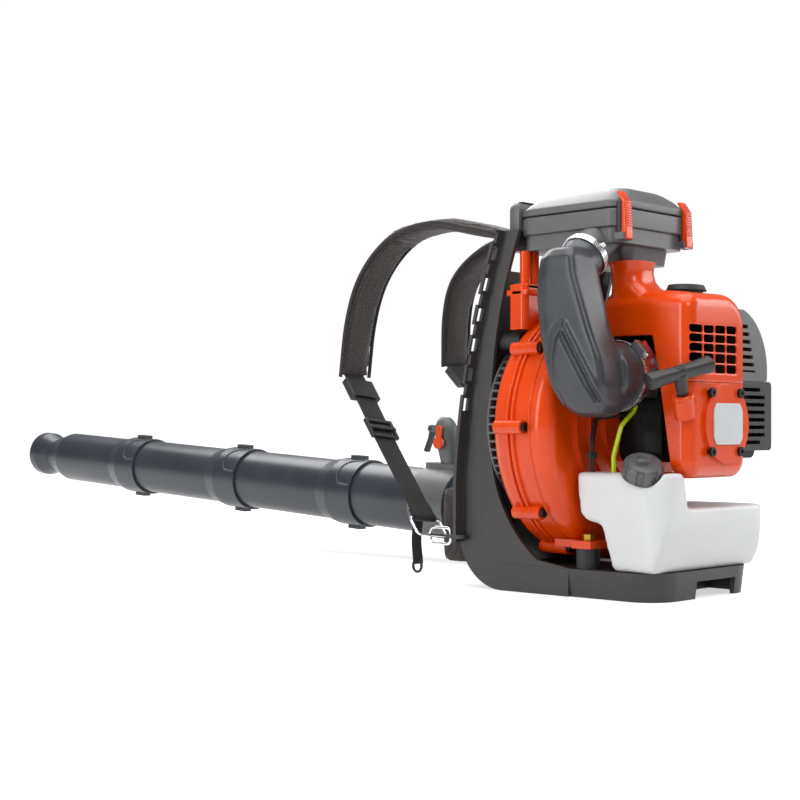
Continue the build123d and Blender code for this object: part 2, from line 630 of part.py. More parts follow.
# Handle clamp: a split band round the swivel tube with a saddle on top
band_r = TUBE_R + GAP
saddle_top = band_r + BAND_WALL + 6
with BuildPart() as handle_clamp:
    with BuildSketch(along_tube(HANDLE_AT - BAND / 2)):
        Circle(band_r + BAND_WALL)
        with Locations((0, band_r + BAND_WALL)):
            Rectangle(34, 12)
        Circle(band_r, mode=Mode.SUBTRACT)
    extrude(amount=BAND)
finish(handle_clamp, "handle_clamp")


def above_tube(height, forward):
    """Plane across the control handle, at a height above the tube's axis."""
    place = tube_origin + tube_forward * (HANDLE_AT + forward) + tube_up * height
    return Plane(origin=place, x_dir=(1, 0, 0), z_dir=tube_up)


# Grip: an egg-shaped post that leans forward, with two ears for the trigger and a stud for the lever
ear_height = saddle_top + GRIP_HEIGHT - 20
ear_forward = GRIP_R + 18
with BuildPart() as handle_grip:
    for share, width in ((0, 0.75), (0.5, 1), (0.85, 0.85), (1, 0.4)):
        with BuildSketch(above_tube(saddle_top + share * GRIP_HEIGHT, share * GRIP_LEAN)):
            Ellipse(width * GRIP_R * 0.85, width * GRIP_R)
    loft()
    for ear_x in (-9, 5):
        with BuildSketch(Plane(origin=above_tube(ear_height, 0).origin, x_dir=tube_forward, z_dir=(-1, 0, 0)).offset(ear_x)):
            with Locations((ear_forward / 2 + 4, 0)):
                SlotOverall(ear_forward + 4, 12)
            with Locations((ear_forward, 0)):
                Circle(2.5 + RUNNING, mode=Mode.SUBTRACT)
        extrude(amount=4)
finish(handle_grip, "handle_grip")

# Throttle trigger: hangs on its pin between the ears
trigger_plane = Plane(origin=above_tube(ear_height, 0).origin, x_dir=tube_forward, z_dir=(-1, 0, 0))
with BuildPart() as throttle_trigger:
    with BuildSketch(trigger_plane.offset(-4)):
        with BuildLine():
            Polyline(
                (ear_forward - 4, 4), (ear_forward + 5, 4), (ear_forward + 9, -16), (ear_forward + 18, -38),
                (ear_forward + 11, -40), (ear_forward + 2, -18), close=True
            )
        make_face()
    extrude(amount=8)
    with BuildSketch(trigger_plane.offset(-10)):
        with Locations((ear_forward, 0)):
            Circle(2.5)
    extrude(amount=20)
finish(throttle_trigger, "throttle_trigger")

# Cruise lever: turns on a stud on the grip's left side
lever_height = saddle_top + GRIP_HEIGHT * 0.45
lever_x = GRIP_R * 0.85 + 3
lever_plane = Plane(origin=above_tube(lever_height, 6).origin, x_dir=tube_forward, z_dir=(1, 0, 0))
with BuildPart() as cruise_lever:
    with BuildSketch(lever_plane.offset(lever_x)):
        with Locations((0, 0)):
            Circle(10)
        with Locations((0, -12)):
            SlotOverall(34, 9, rotation=90)
    extrude(amount=5)
    with BuildSketch(lever_plane.offset(lever_x - 3 + GAP)):
        Circle(5)
    extrude(amount=4)
finish(cruise_lever, "cruise_lever")

# Rubber mounts: two under the fan housing's arms and two between the back panel and the fan housing
with BuildPart() as rubber_mounts:
    with BuildSketch(Plane.XY.offset(DECK_TOP)):
        with Locations(MOUNT_LEFT, MOUNT_RIGHT):
            Circle(MOUNT_R)
    extrude(amount=MOUNT_TOP - DECK_TOP)
    for side in (1, -1):
        with BuildSketch(facing_rear(FAN_FRONT)):
            with Locations((side * UPPER_MOUNT[0], UPPER_MOUNT[1])):
                Circle(UPPER_MOUNT_R)
        extrude(amount=FAN_FRONT - arc_y(panel_rear, UPPER_MOUNT[1] + UPPER_MOUNT_R) - GAP)
finish(rubber_mounts, "rubber_mounts")

# Mount bolts: heads on the arms, over the lower rubber mounts
with BuildPart() as mount_bolts:
    with BuildSketch(Plane.XY.offset(MOUNT_TOP + ARM)):
        with Locations(MOUNT_LEFT, MOUNT_RIGHT):
            RegularPolygon(2 * BOLT_R, 6)
    extrude(amount=2 * BOLT_R)
finish(mount_bolts, "mount_bolts")

# Crankcase: seated in the fan housing's rear wall
case_front = FAN_REAR + RING_STEPS[-1][1]
with BuildPart() as crankcase:
    with BuildSketch(facing_rear(CASE_REAR)):
        with Locations((0, (CASE_LOW + CASE_TOP) / 2)):
            RectangleRounded(2 * CASE_HALF, CASE_TOP - CASE_LOW, 14)
    extrude(amount=CASE_REAR - case_front)
    with BuildSketch(facing_rear(case_front)):
        with Locations((0, CRANK_Z)):
            Circle(SEAT_R - GAP)
    extrude(amount=RING_STEPS[-1][1] + PLASTIC - 1)
    with BuildSketch(facing_rear(CASE_REAR)):
        with Locations((0, CRANK_Z)):
            Circle(SHAFT_R + RUNNING)
    extrude(amount=CASE_REAR, mode=Mode.SUBTRACT)
finish(crankcase, "crankcase")

# Crankshaft with the starter cup on its rear end
with BuildPart() as crankshaft:
    with BuildSketch(facing_rear(STARTER_FRONT)):
        with Locations((0, CRANK_Z)):
            Circle(SHAFT_R)
    extrude(amount=STARTER_FRONT - FAN_FRONT - PLASTIC)
finish(crankshaft, "crankshaft")

with BuildPart() as starter_cup:
    with BuildSketch(facing_rear(STARTER_FRONT + 6)):
        with Locations((0, CRANK_Z)):
            Circle(PULLEY_R - 6)
    extrude(amount=12)
    with BuildSketch(facing_rear(STARTER_FRONT)):
        with Locations((0, CRANK_Z)):
            Circle(SHAFT_R)
    extrude(amount=6, mode=Mode.SUBTRACT)
finish(starter_cup, "starter_cup")

# Cylinder: core with cooling fins, a bore and a plug hole in its head
fin_low = CASE_TOP
cylinder_top = fin_low + FIN_COUNT * FIN_PITCH + FIN_WALL
with BuildPart() as cylinder:
    with BuildSketch(Plane.XY.offset(CASE_TOP)):
        with Locations((0, CYLINDER_Y)):
            Circle(BORE_R + 9)
    extrude(amount=cylinder_top - CASE_TOP)
    for fin in range(FIN_COUNT + 1):
        with BuildSketch(Plane.XY.offset(fin_low + fin * FIN_PITCH)):
            with Locations((0, CYLINDER_Y)):
                RectangleRounded(2 * FIN_HALF, 1.5 * FIN_HALF, 8)
        extrude(amount=FIN_WALL)
    with BuildSketch(Plane.XY.offset(CASE_TOP)):
        with Locations((0, CYLINDER_Y)):
            Circle(BORE_R)
    extrude(amount=cylinder_top - CASE_TOP - 12, mode=Mode.SUBTRACT)
    with BuildSketch(Plane.XY.offset(CASE_TOP)):
        with Locations((0, CYLINDER_Y)):
            Circle(PLUG_R)
    extrude(amount=cylinder_top, mode=Mode.SUBTRACT)
finish(cylinder, "cylinder")

with BuildPart() as piston:
    with BuildSketch(Plane.XY.offset(CASE_TOP + 20)):
        with Locations((0, CYLINDER_Y)):
            Circle(BORE_R - RUNNING)
    extrude(amount=34)
    with BuildSketch(Plane.XY.offset(CASE_TOP + 20)):
        with Locations((0, CYLINDER_Y)):
            Circle(BORE_R - 5)
    extrude(amount=28, mode=Mode.SUBTRACT)
finish(piston, "piston")

# Spark plug, with the rubber cover that closes the hole in the engine cover's top
with BuildPart() as spark_plug:
    with BuildSketch(Plane.XY.offset(cylinder_top - 14)):
        with Locations((0, CYLINDER_Y)):
            Circle(PLUG_R - RUNNING)
    extrude(amount=14)
    with BuildSketch(Plane.XY.offset(cylinder_top)):
        with Locations((0, CYLINDER_Y)):
            RegularPolygon(PLUG_R + 4, 6)
    extrude(amount=7)
    with BuildSketch(Plane.XY.offset(cylinder_top + 7)):
        with Locations((0, CYLINDER_Y)):
            Circle(PLUG_R - 2)
    extrude(amount=COVER_TOP - PLASTIC - cylinder_top - 7)
finish(spark_plug, "spark_plug")

with BuildPart() as plug_cover:
    with BuildSketch(Plane.XY.offset(COVER_TOP)):
        with Locations(PLUG_COVER):
            Ellipse(PLUG_HOLE + 5, PLUG_HOLE * 0.7 + 5)
    extrude(amount=7, taper=25)
    with BuildSketch(Plane.XY.offset(COVER_TOP - PLASTIC)):
        with Locations(PLUG_COVER):
            Ellipse(PLUG_HOLE - GAP, PLUG_HOLE * 0.7 - GAP)
    extrude(amount=PLASTIC)
finish(plug_cover, "plug_cover")

# Engine cover: a shell open to the front, with a window for the carburettor and a pedestal for the filter box
cover_middle = (COVER_LEFT + COVER_RIGHT) / 2


def cover_block(low, high, front, inset, rounded_end):
    """Rear block of the engine with one end rounded, 0 for its lower and -1 for its upper end."""
    flat_end = high if rounded_end == 0 else low
    with BuildPart() as block:
        with BuildSketch(facing_rear(COVER_REAR - inset)) as block_face:
            with Locations((cover_middle, (low + high) / 2)):
                Rectangle(COVER_LEFT - COVER_RIGHT - 2 * inset, high - low)
            round_corners = block_face.vertices().group_by(Axis.Y)[rounded_end].sort_by(Axis.X)
            fillet(round_corners[0], (COVER_ROUND if rounded_end == 0 else COVER_SHOULDER) - inset)
            left_corner = block_face.vertices().group_by(Axis.Y)[rounded_end].sort_by(Axis.X)[-1]
            fillet(left_corner, COVER_ROUND - inset)
        extrude(amount=COVER_REAR - inset - front)
        rim = block.faces().sort_by(Axis.Y)[-1].edges()
        fillet(rim.filter_by(lambda edge: abs(edge.center().Z - flat_end) > 1), COVER_RIM - inset)
    return block.part


with BuildPart() as engine_cover:
    add(cover_block(COVER_SEAM, COVER_TOP, COVER_FRONT, 0, -1))
    with BuildSketch(Plane.XY.offset(COVER_TOP - PLASTIC)):
        with Locations((SADDLE_MIDDLE, COVER_FRONT + SADDLE[1] / 2)):
            RectangleRounded(*SADDLE, 12)
    extrude(amount=FILTER_LOW - COVER_TOP + PLASTIC - GAP, taper=3)
    cover_space = cover_block(COVER_SEAM - PLASTIC, COVER_TOP - PLASTIC, COVER_FRONT - PLASTIC, PLASTIC, -1)
    add(cover_space, mode=Mode.SUBTRACT)
    with BuildSketch(across(cover_middle)):
        with BuildLine():
            Polyline(
                (COVER_FRONT - 1, WINDOW_TOP), (WINDOW_REAR, WINDOW_TOP), (WINDOW_REAR + 12, COVER_SEAM - 1),
                (COVER_FRONT - 1, COVER_SEAM - 1), close=True
            )
        make_face()
    extrude(amount=COVER_LEFT, mode=Mode.SUBTRACT)
    with BuildSketch(across(cover_middle)):
        with Locations((COVER_FRONT + 42, COVER_SEAM + 25)):
            Rectangle(86, 52)
    extrude(amount=-COVER_LEFT, mode=Mode.SUBTRACT)
    with BuildSketch(Plane.XY.offset(COVER_TOP - 20)):
        with Locations(PLUG_COVER):
            Ellipse(PLUG_HOLE, PLUG_HOLE * 0.7)
    extrude(amount=20, mode=Mode.SUBTRACT)
    with BuildSketch(facing_rear(COVER_REAR + 1)):
        for column in range(GRILLE_COLUMNS):
            for row in range(GRILLE_ROWS):
                with Locations((GRILLE_LEFT - 26 * column, GRILLE_LOW + 13 * row)):
                    RectangleRounded(21, 8, 2)
    extrude(amount=PLASTIC + 3, mode=Mode.SUBTRACT)
finish(engine_cover, "engine_cover")

# Starter housing: lower half of the engine's rear, with a round boss, a post for the pulley and a rope socket
pull = Vector(*PULL).normalized()
bar_lean = Vector(*BAR_LEAN).normalized()
stem_lean = bar_lean.cross(pull).cross(bar_lean).normalized()
handle_middle = Vector(*HANDLE_MIDDLE)
socket_at = handle_middle - stem_lean * 32
starter_top = COVER_SEAM - GAP
with BuildPart() as starter_housing:
    add(cover_block(STARTER_LOW, starter_top, STARTER_FRONT, 0, 0))
    with BuildSketch(facing_rear(COVER_REAR + 4)):
        with Locations((0, CRANK_Z)):
            Circle(50)
    extrude(amount=8)
    starter_space = cover_block(STARTER_LOW + PLASTIC, starter_top - PLASTIC, STARTER_FRONT - PLASTIC, PLASTIC, 0)
    add(starter_space, mode=Mode.SUBTRACT)
    with BuildSketch(facing_rear(COVER_REAR)):
        with Locations((0, CRANK_Z)):
            Circle(PULLEY_POST)
    extrude(amount=COVER_REAR - PULLEY_FRONT)
    with BuildSketch(across(cover_middle)):
        with BuildLine():
            Polyline(
                (STARTER_FRONT - 1, COVER_SEAM), (WINDOW_REAR + 12, COVER_SEAM), (WINDOW_FOOT, STARTER_LOW + 8),
                (STARTER_FRONT - 1, STARTER_LOW + 8), close=True
            )
        make_face()
    extrude(amount=COVER_LEFT, mode=Mode.SUBTRACT)
    with BuildSketch(Plane(origin=socket_at, z_dir=stem_lean)):
        Circle(13)
    extrude(amount=-26)
    with BuildSketch(Plane(origin=socket_at, z_dir=stem_lean)):
        Circle(ROPE_R + GAP)
    extrude(amount=-60, mode=Mode.SUBTRACT)
    with BuildSketch(facing_rear(COVER_REAR + 10)):
        with Locations(*STARTER_SCREWS):
            Circle(SEAM_SCREW_R + RUNNING)
    extrude(amount=20, mode=Mode.SUBTRACT)
finish(starter_housing, "starter_housing")

with BuildPart() as starter_screws:
    with BuildSketch(facing_rear(COVER_REAR + 4 + SEAM_HEAD)):
        with Locations(*STARTER_SCREWS):
            Circle(2 * SEAM_SCREW_R)
    extrude(amount=SEAM_HEAD)
    with BuildSketch(facing_rear(COVER_REAR + 4)):
        with Locations(*STARTER_SCREWS):
            Circle(SEAM_SCREW_R)
    extrude(amount=8)
    with BuildSketch(facing_rear(COVER_REAR + 4 + SEAM_HEAD)):
        with Locations(*STARTER_SCREWS):
            RegularPolygon(SEAM_SCREW_R, 6)
    extrude(amount=SEAM_HEAD / 2, mode=Mode.SUBTRACT)
finish(starter_screws, "starter_screws")

# Badge: a blank silver plate with bowed sides on the starter's boss
with BuildPart() as badge_plate:
    with BuildSketch(facing_rear(COVER_REAR + 4 + BADGE_WALL)):
        with Locations((0, CRANK_Z)):
            Rectangle(BADGE_WIDE, BADGE_TALL)
            Circle(BADGE_WIDE / 2 + 4, mode=Mode.INTERSECT)
    extrude(amount=BADGE_WALL)
finish(badge_plate, "badge_plate")

# Starter pulley: turns on the housing's post and winds the rope
with BuildPart() as starter_pulley:
    with BuildSketch(across(0)):
        with BuildLine():
            Polyline(
                (PULLEY_FRONT, CRANK_Z + PULLEY_POST + RUNNING), (PULLEY_REAR, CRANK_Z + PULLEY_POST + RUNNING),
                (PULLEY_REAR, CRANK_Z + PULLEY_R), (PULLEY_REAR - 5, CRANK_Z + PULLEY_R),
                (PULLEY_REAR - 8, CRANK_Z + PULLEY_R - 8), (PULLEY_FRONT + 8, CRANK_Z + PULLEY_R - 8),
                (PULLEY_FRONT + 5, CRANK_Z + PULLEY_R), (PULLEY_FRONT, CRANK_Z + PULLEY_R), close=True
            )
        make_face()
    revolve(axis=Axis((0, 0, CRANK_Z), (0, 1, 0)))
finish(starter_pulley, "starter_pulley")

# Starter handle: T bar with a stem, and the rope that leads into the socket
with BuildPart() as starter_handle:
    with BuildSketch(Plane(origin=handle_middle - bar_lean * BAR_LONG / 2, z_dir=bar_lean)):
        Circle(BAR_R)
    extrude(amount=BAR_LONG)
    fillet(starter_handle.edges().filter_by(GeomType.CIRCLE), BAR_R * 0.8)
    with BuildSketch(Plane(origin=handle_middle, z_dir=stem_lean)):
        Circle(BAR_R)
    extrude(amount=-24, taper=6)
    with BuildSketch(Plane(origin=handle_middle, z_dir=stem_lean)):
        Circle(ROPE_R + RUNNING)
    extrude(amount=-24, mode=Mode.SUBTRACT)
finish(starter_handle, "starter_handle")

with BuildPart() as starter_rope:
    with BuildSketch(Plane(origin=handle_middle - stem_lean * 4, z_dir=stem_lean)):
        Circle(ROPE_R)
    extrude(amount=-50)
finish(starter_rope, "starter_rope")

# Muffler on the cylinder's right side
with BuildPart() as muffler:
    with BuildSketch(facing_rear(MUFFLER_REAR)):
        with Locations(((MUFFLER_LEFT + MUFFLER_RIGHT) / 2, (MUFFLER_LOW + MUFFLER_TOP) / 2)):
            RectangleRounded(MUFFLER_LEFT - MUFFLER_RIGHT, MUFFLER_TOP - MUFFLER_LOW, 12)
    extrude(amount=MUFFLER_REAR - MUFFLER_FRONT)
    with BuildSketch(across(-FIN_HALF)):
        with Locations((CYLINDER_Y, COVER_SEAM + 12)):
            Rectangle(34, 18)
    extrude(amount=MUFFLER_LEFT + FIN_HALF - 4)
finish(muffler, "muffler")

# Heat shield: a ribbed black cover round the muffler's lower part, seated on two stand-offs
with BuildPart() as heat_shield:
    with BuildSketch(facing_rear(GUARD_REAR)):
        with Locations(((GUARD_LEFT + SHIELD_RIGHT) / 2, (SHIELD_LOW + GUARD_LOW) / 2)):
            RectangleRounded(GUARD_LEFT - SHIELD_RIGHT, GUARD_LOW - SHIELD_LOW, 6)
    extrude(amount=GUARD_REAR - MUFFLER_FRONT)
    with BuildSketch(facing_rear(GUARD_REAR - PLASTIC)):
        with Locations(((GUARD_LEFT + SHIELD_RIGHT) / 2 + 20, (SHIELD_LOW + GUARD_LOW) / 2)):
            Rectangle(GUARD_LEFT - SHIELD_RIGHT - 2 * PLASTIC + 40, GUARD_LOW - SHIELD_LOW + 2)
    extrude(amount=GUARD_REAR, mode=Mode.SUBTRACT)
    with BuildSketch(facing_rear(GUARD_REAR + 1)):
        with GridLocations(0, 10, 1, 8):
            with Locations(((GUARD_LEFT + SHIELD_RIGHT) / 2, (SHIELD_LOW + GUARD_LOW) / 2)):
                Rectangle(70, 5)
    extrude(amount=PLASTIC + 2, mode=Mode.SUBTRACT)
    with BuildSketch(facing_rear(GUARD_REAR)):
        with Locations((SHIELD_RIGHT + 22, SHIELD_LOW + 12), (SHIELD_RIGHT + 22, GUARD_LOW - 12)):
            Circle(7)
    extrude(amount=GUARD_REAR - MUFFLER_REAR)
finish(heat_shield, "heat_shield")

# Muffler guard: grey louvred cover over the muffler's top
with BuildPart() as muffler_guard:
    with BuildSketch(facing_rear(GUARD_REAR)):
        with BuildLine():
            crown = ThreePointArc((-92, GUARD_TOP), (-126, 352), (GUARD_RIGHT, GUARD_LOW + GAP))
            Polyline(crown @ 1, (GUARD_LEFT, GUARD_LOW + GAP), (GUARD_LEFT, GUARD_TOP), crown @ 0)
        make_face()
    extrude(amount=GUARD_REAR - MUFFLER_FRONT)
    with BuildSketch(facing_rear(GUARD_REAR - PLASTIC)):
        with BuildLine():
            crown = ThreePointArc((-92, GUARD_TOP - PLASTIC), (-123, 350), (GUARD_RIGHT + PLASTIC, GUARD_LOW))
            Polyline(crown @ 1, (GUARD_LEFT + 1, GUARD_LOW), (GUARD_LEFT + 1, GUARD_TOP - PLASTIC), crown @ 0)
        make_face()
    extrude(amount=GUARD_REAR, mode=Mode.SUBTRACT)
    with BuildSketch(facing_rear(GUARD_REAR + 1)):
        for row in range(7):
            with Locations((MUFFLER_LEFT - 22 - 2 * (6 - row), GUARD_LOW + 12 + 10 * row)):
                Rectangle(34 + 2 * (6 - row), 5)
    extrude(amount=PLASTIC + 2, mode=Mode.SUBTRACT)
    with Locations(((MUFFLER_LEFT + MUFFLER_RIGHT) / 2, (MUFFLER_REAR + GUARD_REAR) / 2, MUFFLER_TOP - 6)):
        Box(30, GUARD_REAR - MUFFLER_REAR, 8)
finish(muffler_guard, "muffler_guard")

# Carburettor on the cylinder's left side, with a round cup for the intake elbow
with BuildPart() as carburettor:
    with Locations(((FIN_HALF + CARB_LEFT) / 2, CARB_Y, CARB_Z)):
        Box(CARB_LEFT - FIN_HALF, 2 * CARB_HALF, 2 * CARB_HALF + 8)
    with BuildSketch(across(CARB_LEFT)):
        with Locations((CARB_Y, CARB_Z)):
            Circle(HOSE_CUP_R - HOSE_WALL - GAP)
    extrude(amount=20)
    with BuildSketch(across(CARB_LEFT + 3)):
        with Locations((CARB_Y, CARB_Z)):
            Circle(HOSE_CUP_R - 3 * HOSE_WALL)
    extrude(amount=20, mode=Mode.SUBTRACT)
    with BuildSketch(facing_rear(CARB_Y + CARB_HALF + 5)):
        with Locations(CHOKE_PIVOT):
            Circle(4)
    extrude(amount=8)
finish(carburettor, "carburettor")

# Choke lever: red, turns on the carburettor's stud
with BuildPart() as choke_lever:
    with BuildSketch(facing_rear(CARB_Y + CARB_HALF + 5)):
        with BuildLine():
            Polyline(
                (CHOKE_PIVOT[0] - 6, CHOKE_PIVOT[1] - 8), (CHOKE_PIVOT[0] + 8, CHOKE_PIVOT[1] - 6),
                (CHOKE_PIVOT[0] + 22, CHOKE_PIVOT[1] + 18), (CHOKE_PIVOT[0] + 16, CHOKE_PIVOT[1] + 26),
                (CHOKE_PIVOT[0] - 6, CHOKE_PIVOT[1] + 8), close=True
            )
        make_face()
        with Locations(CHOKE_PIVOT):
            Circle(4 + RUNNING, mode=Mode.SUBTRACT)
    extrude(amount=4)
finish(choke_lever, "choke_lever")

# Intake elbow: black rubber duct from the filter box's stub down to a hood over the carburettor's cup
neck_lean = Vector(0.8, 0, -0.6)
hose_sections = (
    (Vector(*NECK_START) + neck_lean * NECK_LONG, neck_lean, HOSE_NECK_R, HOSE_NECK_R),
    ((143, 64, 398), (0.35, 0, -0.94), HOSE_WIDE - 4, HOSE_DEEP - 2),
    ((148, 78, 350), (0, 0.15, -0.99), HOSE_WIDE, HOSE_DEEP),
    ((144, 96, CARB_Z + 22), (-0.1, 0.1, -0.98), HOSE_WIDE, HOSE_DEEP),
)
with BuildPart() as intake_elbow:
    for inset, mode in ((0, Mode.ADD), (HOSE_WALL, Mode.SUBTRACT)):
        with BuildSketch(across(CARB_LEFT + 6)):
            with Locations((CARB_Y, CARB_Z)):
                Circle(HOSE_CUP_R - inset)
        extrude(amount=24 - inset, mode=mode)
        with BuildSketch(across(CARB_LEFT + 30 - inset)):
            with Locations((CARB_Y, CARB_Z)):
                Circle(HOSE_CUP_R - inset)
        extrude(amount=HOOD_DEEP, taper=HOOD_TAPER, mode=mode)
        with BuildSketch(Plane(origin=NECK_START, z_dir=neck_lean)):
            Circle(HOSE_NECK_R - inset)
        extrude(amount=NECK_LONG, mode=mode)
        with BuildPart(mode=Mode.PRIVATE) as duct:
            for centre, heading, wide_r, deep_r in hose_sections:
                with BuildSketch(Plane(origin=centre, x_dir=(0, 1, 0), z_dir=heading)):
                    Ellipse(wide_r - inset, deep_r - inset)
            loft()
        add(duct.part, mode=mode)
finish(intake_elbow, "intake_elbow")

# Hose clamps at both ends of the intake elbow
with BuildPart() as upper_hose_clamp:
    neck_plane = Plane(origin=Vector(*NECK_START) + neck_lean * 5, x_dir=(0.6, 0, 0.8), z_dir=neck_lean)
    band_clamp(neck_plane, HOSE_NECK_R + GAP)
finish(upper_hose_clamp, "upper_hose_clamp")

with BuildPart() as lower_hose_clamp:
    cup_plane = Plane(origin=(CARB_LEFT + 18, CARB_Y, CARB_Z), x_dir=(0, -0.7, 0.7), z_dir=(-1, 0, 0))
    band_clamp(cup_plane, HOSE_CUP_R + GAP)
finish(lower_hose_clamp, "lower_hose_clamp")

# Filter box: tray with a bowl below, a stub for the intake elbow and ears for the latches
filter_middle = ((FILTER_LEFT + FILTER_RIGHT) / 2, (FILTER_FRONT + FILTER_REAR) / 2)
filter_size = (FILTER_LEFT - FILTER_RIGHT, FILTER_REAR - FILTER_FRONT)
tray_low = FILTER_SEAM - 20
with BuildPart() as filter_box:
    with BuildSketch(Plane.XY.offset(tray_low)):
        with Locations(filter_middle):
            RectangleRounded(filter_size[0] - 8, filter_size[1] - 8, 16)
    extrude(amount=FILTER_SEAM - tray_low)
    with BuildSketch(Plane.XY.offset(tray_low)):
        with Locations(((BOWL[0] + BOWL[1]) / 2, (BOWL[2] + BOWL[3]) / 2)):
            RectangleRounded(BOWL[1] - BOWL[0], BOWL[3] - BOWL[2], 16)
    extrude(amount=FILTER_LOW - tray_low, taper=10)
    with BuildSketch(Plane(origin=Vector(*NECK_START) + neck_lean * NECK_LONG, z_dir=neck_lean)):
        Circle(HOSE_NECK_R - HOSE_WALL - GAP)
    extrude(amount=-3 * NECK_LONG)
    with BuildSketch(Plane.XY.offset(tray_low + PLASTIC)):
        with Locations(filter_middle):
            RectangleRounded(filter_size[0] - 8 - 2 * PLASTIC, filter_size[1] - 8 - 2 * PLASTIC, 13)
    extrude(amount=FILTER_SEAM, mode=Mode.SUBTRACT)
    with BuildSketch(Plane(origin=Vector(*NECK_START) + neck_lean * NECK_LONG, z_dir=neck_lean)):
        Circle(HOSE_NECK_R - 2 * HOSE_WALL)
    extrude(amount=-3 * NECK_LONG, mode=Mode.SUBTRACT)
    split(bisect_by=Plane.XY.offset(FILTER_SEAM), keep=Keep.BOTTOM)
    for latch_x in LATCHES:
        with BuildSketch(across(latch_x - LATCH_WIDE / 2 - 3)):
            with Locations((FILTER_REAR - 1, tray_low + 7)):
                Rectangle(14, 9)
        extrude(amount=LATCH_WIDE + 6)
        with BuildSketch(across(latch_x - LATCH_WIDE / 2 - GAP)):
            with Locations((FILTER_REAR + 6, tray_low + 7)):
                Rectangle(20, 20)
        extrude(amount=LATCH_WIDE + 2 * GAP, mode=Mode.SUBTRACT)
        with BuildSketch(across(latch_x - LATCH_WIDE / 2 - 3)):
            with Locations((FILTER_REAR + 3, tray_low + 7)):
                Circle(2.5)
        extrude(amount=LATCH_WIDE + 6)
finish(filter_box, "filter_box")

# Latches: orange straps that turn on the filter box's pins and hook over the cover
for latch_name, latch_x in zip(("left_latch", "right_latch"), LATCHES):
    with BuildPart() as latch:
        with BuildSketch(across(latch_x - LATCH_WIDE / 2)):
            with BuildLine():
                Polyline(
                    (FILTER_REAR + GAP, tray_low + 14), (FILTER_REAR + GAP, LATCH_TOP), (FILTER_REAR + 5, LATCH_TOP),
                    (FILTER_REAR + 8, tray_low + 10), (FILTER_REAR + 8, tray_low + 3), (FILTER_REAR - 1, tray_low + 3),
                    (FILTER_REAR - 1, tray_low + 12), close=True
                )
            make_face()
            with Locations((FILTER_REAR + 3, tray_low + 7)):
                Circle(2.5 + RUNNING, mode=Mode.SUBTRACT)
        extrude(amount=LATCH_WIDE)
    finish(latch, latch_name)

# Filter cover: a hood with bevelled upper edges, over the pleated element
with BuildPart() as filter_cover:
    for inset, mode in ((0, Mode.ADD), (PLASTIC, Mode.SUBTRACT)):
        width, depth = filter_size[0] - 2 * inset, filter_size[1] - 2 * inset
        with BuildSketch(Plane.XY.offset(FILTER_SEAM + GAP)):
            with Locations(filter_middle):
                RectangleRounded(width, depth, FILTER_CORNER - inset)
        extrude(amount=FILTER_TOP - FILTER_BEVEL - FILTER_SEAM - GAP - inset, mode=mode)
        with BuildSketch(Plane.XY.offset(FILTER_TOP - FILTER_BEVEL - inset)):
            with Locations(filter_middle):
                RectangleRounded(width, depth, FILTER_CORNER - inset)
        with BuildSketch(Plane.XY.offset(FILTER_TOP - inset)):
            with Locations(filter_middle):
                RectangleRounded(width - 2 * FILTER_BEVEL, depth - 2 * FILTER_BEVEL, FILTER_CORNER - inset)
        loft(mode=mode)
finish(filter_cover, "filter_cover")

element_tall = FILTER_TOP - tray_low - 4 * PLASTIC
with BuildPart() as filter_element:
    with BuildSketch(Plane.XY.offset(tray_low + PLASTIC)):
        with Locations(filter_middle):
            RectangleRounded(filter_size[0] - 2 * ELEMENT_EDGE, filter_size[1] - 2 * ELEMENT_EDGE, 10)
    extrude(amount=element_tall)
    with BuildSketch(Plane.XY.offset(tray_low + PLASTIC)):
        with Locations(filter_middle):
            element_space = 2 * (ELEMENT_EDGE + ELEMENT_WALL)
            Rectangle(filter_size[0] - element_space, filter_size[1] - element_space)
    extrude(amount=element_tall - 3 * PLASTIC, mode=Mode.SUBTRACT)
finish(filter_element, "filter_element")

# Posts between the fan housing's tower and the filter box
with BuildPart() as filter_posts:
    with BuildSketch(Plane.XY.offset(TOWER_TOP)):
        with Locations(*POSTS):
            Circle(POST_R)
    extrude(amount=tray_low - TOWER_TOP)
finish(filter_posts, "filter_posts")

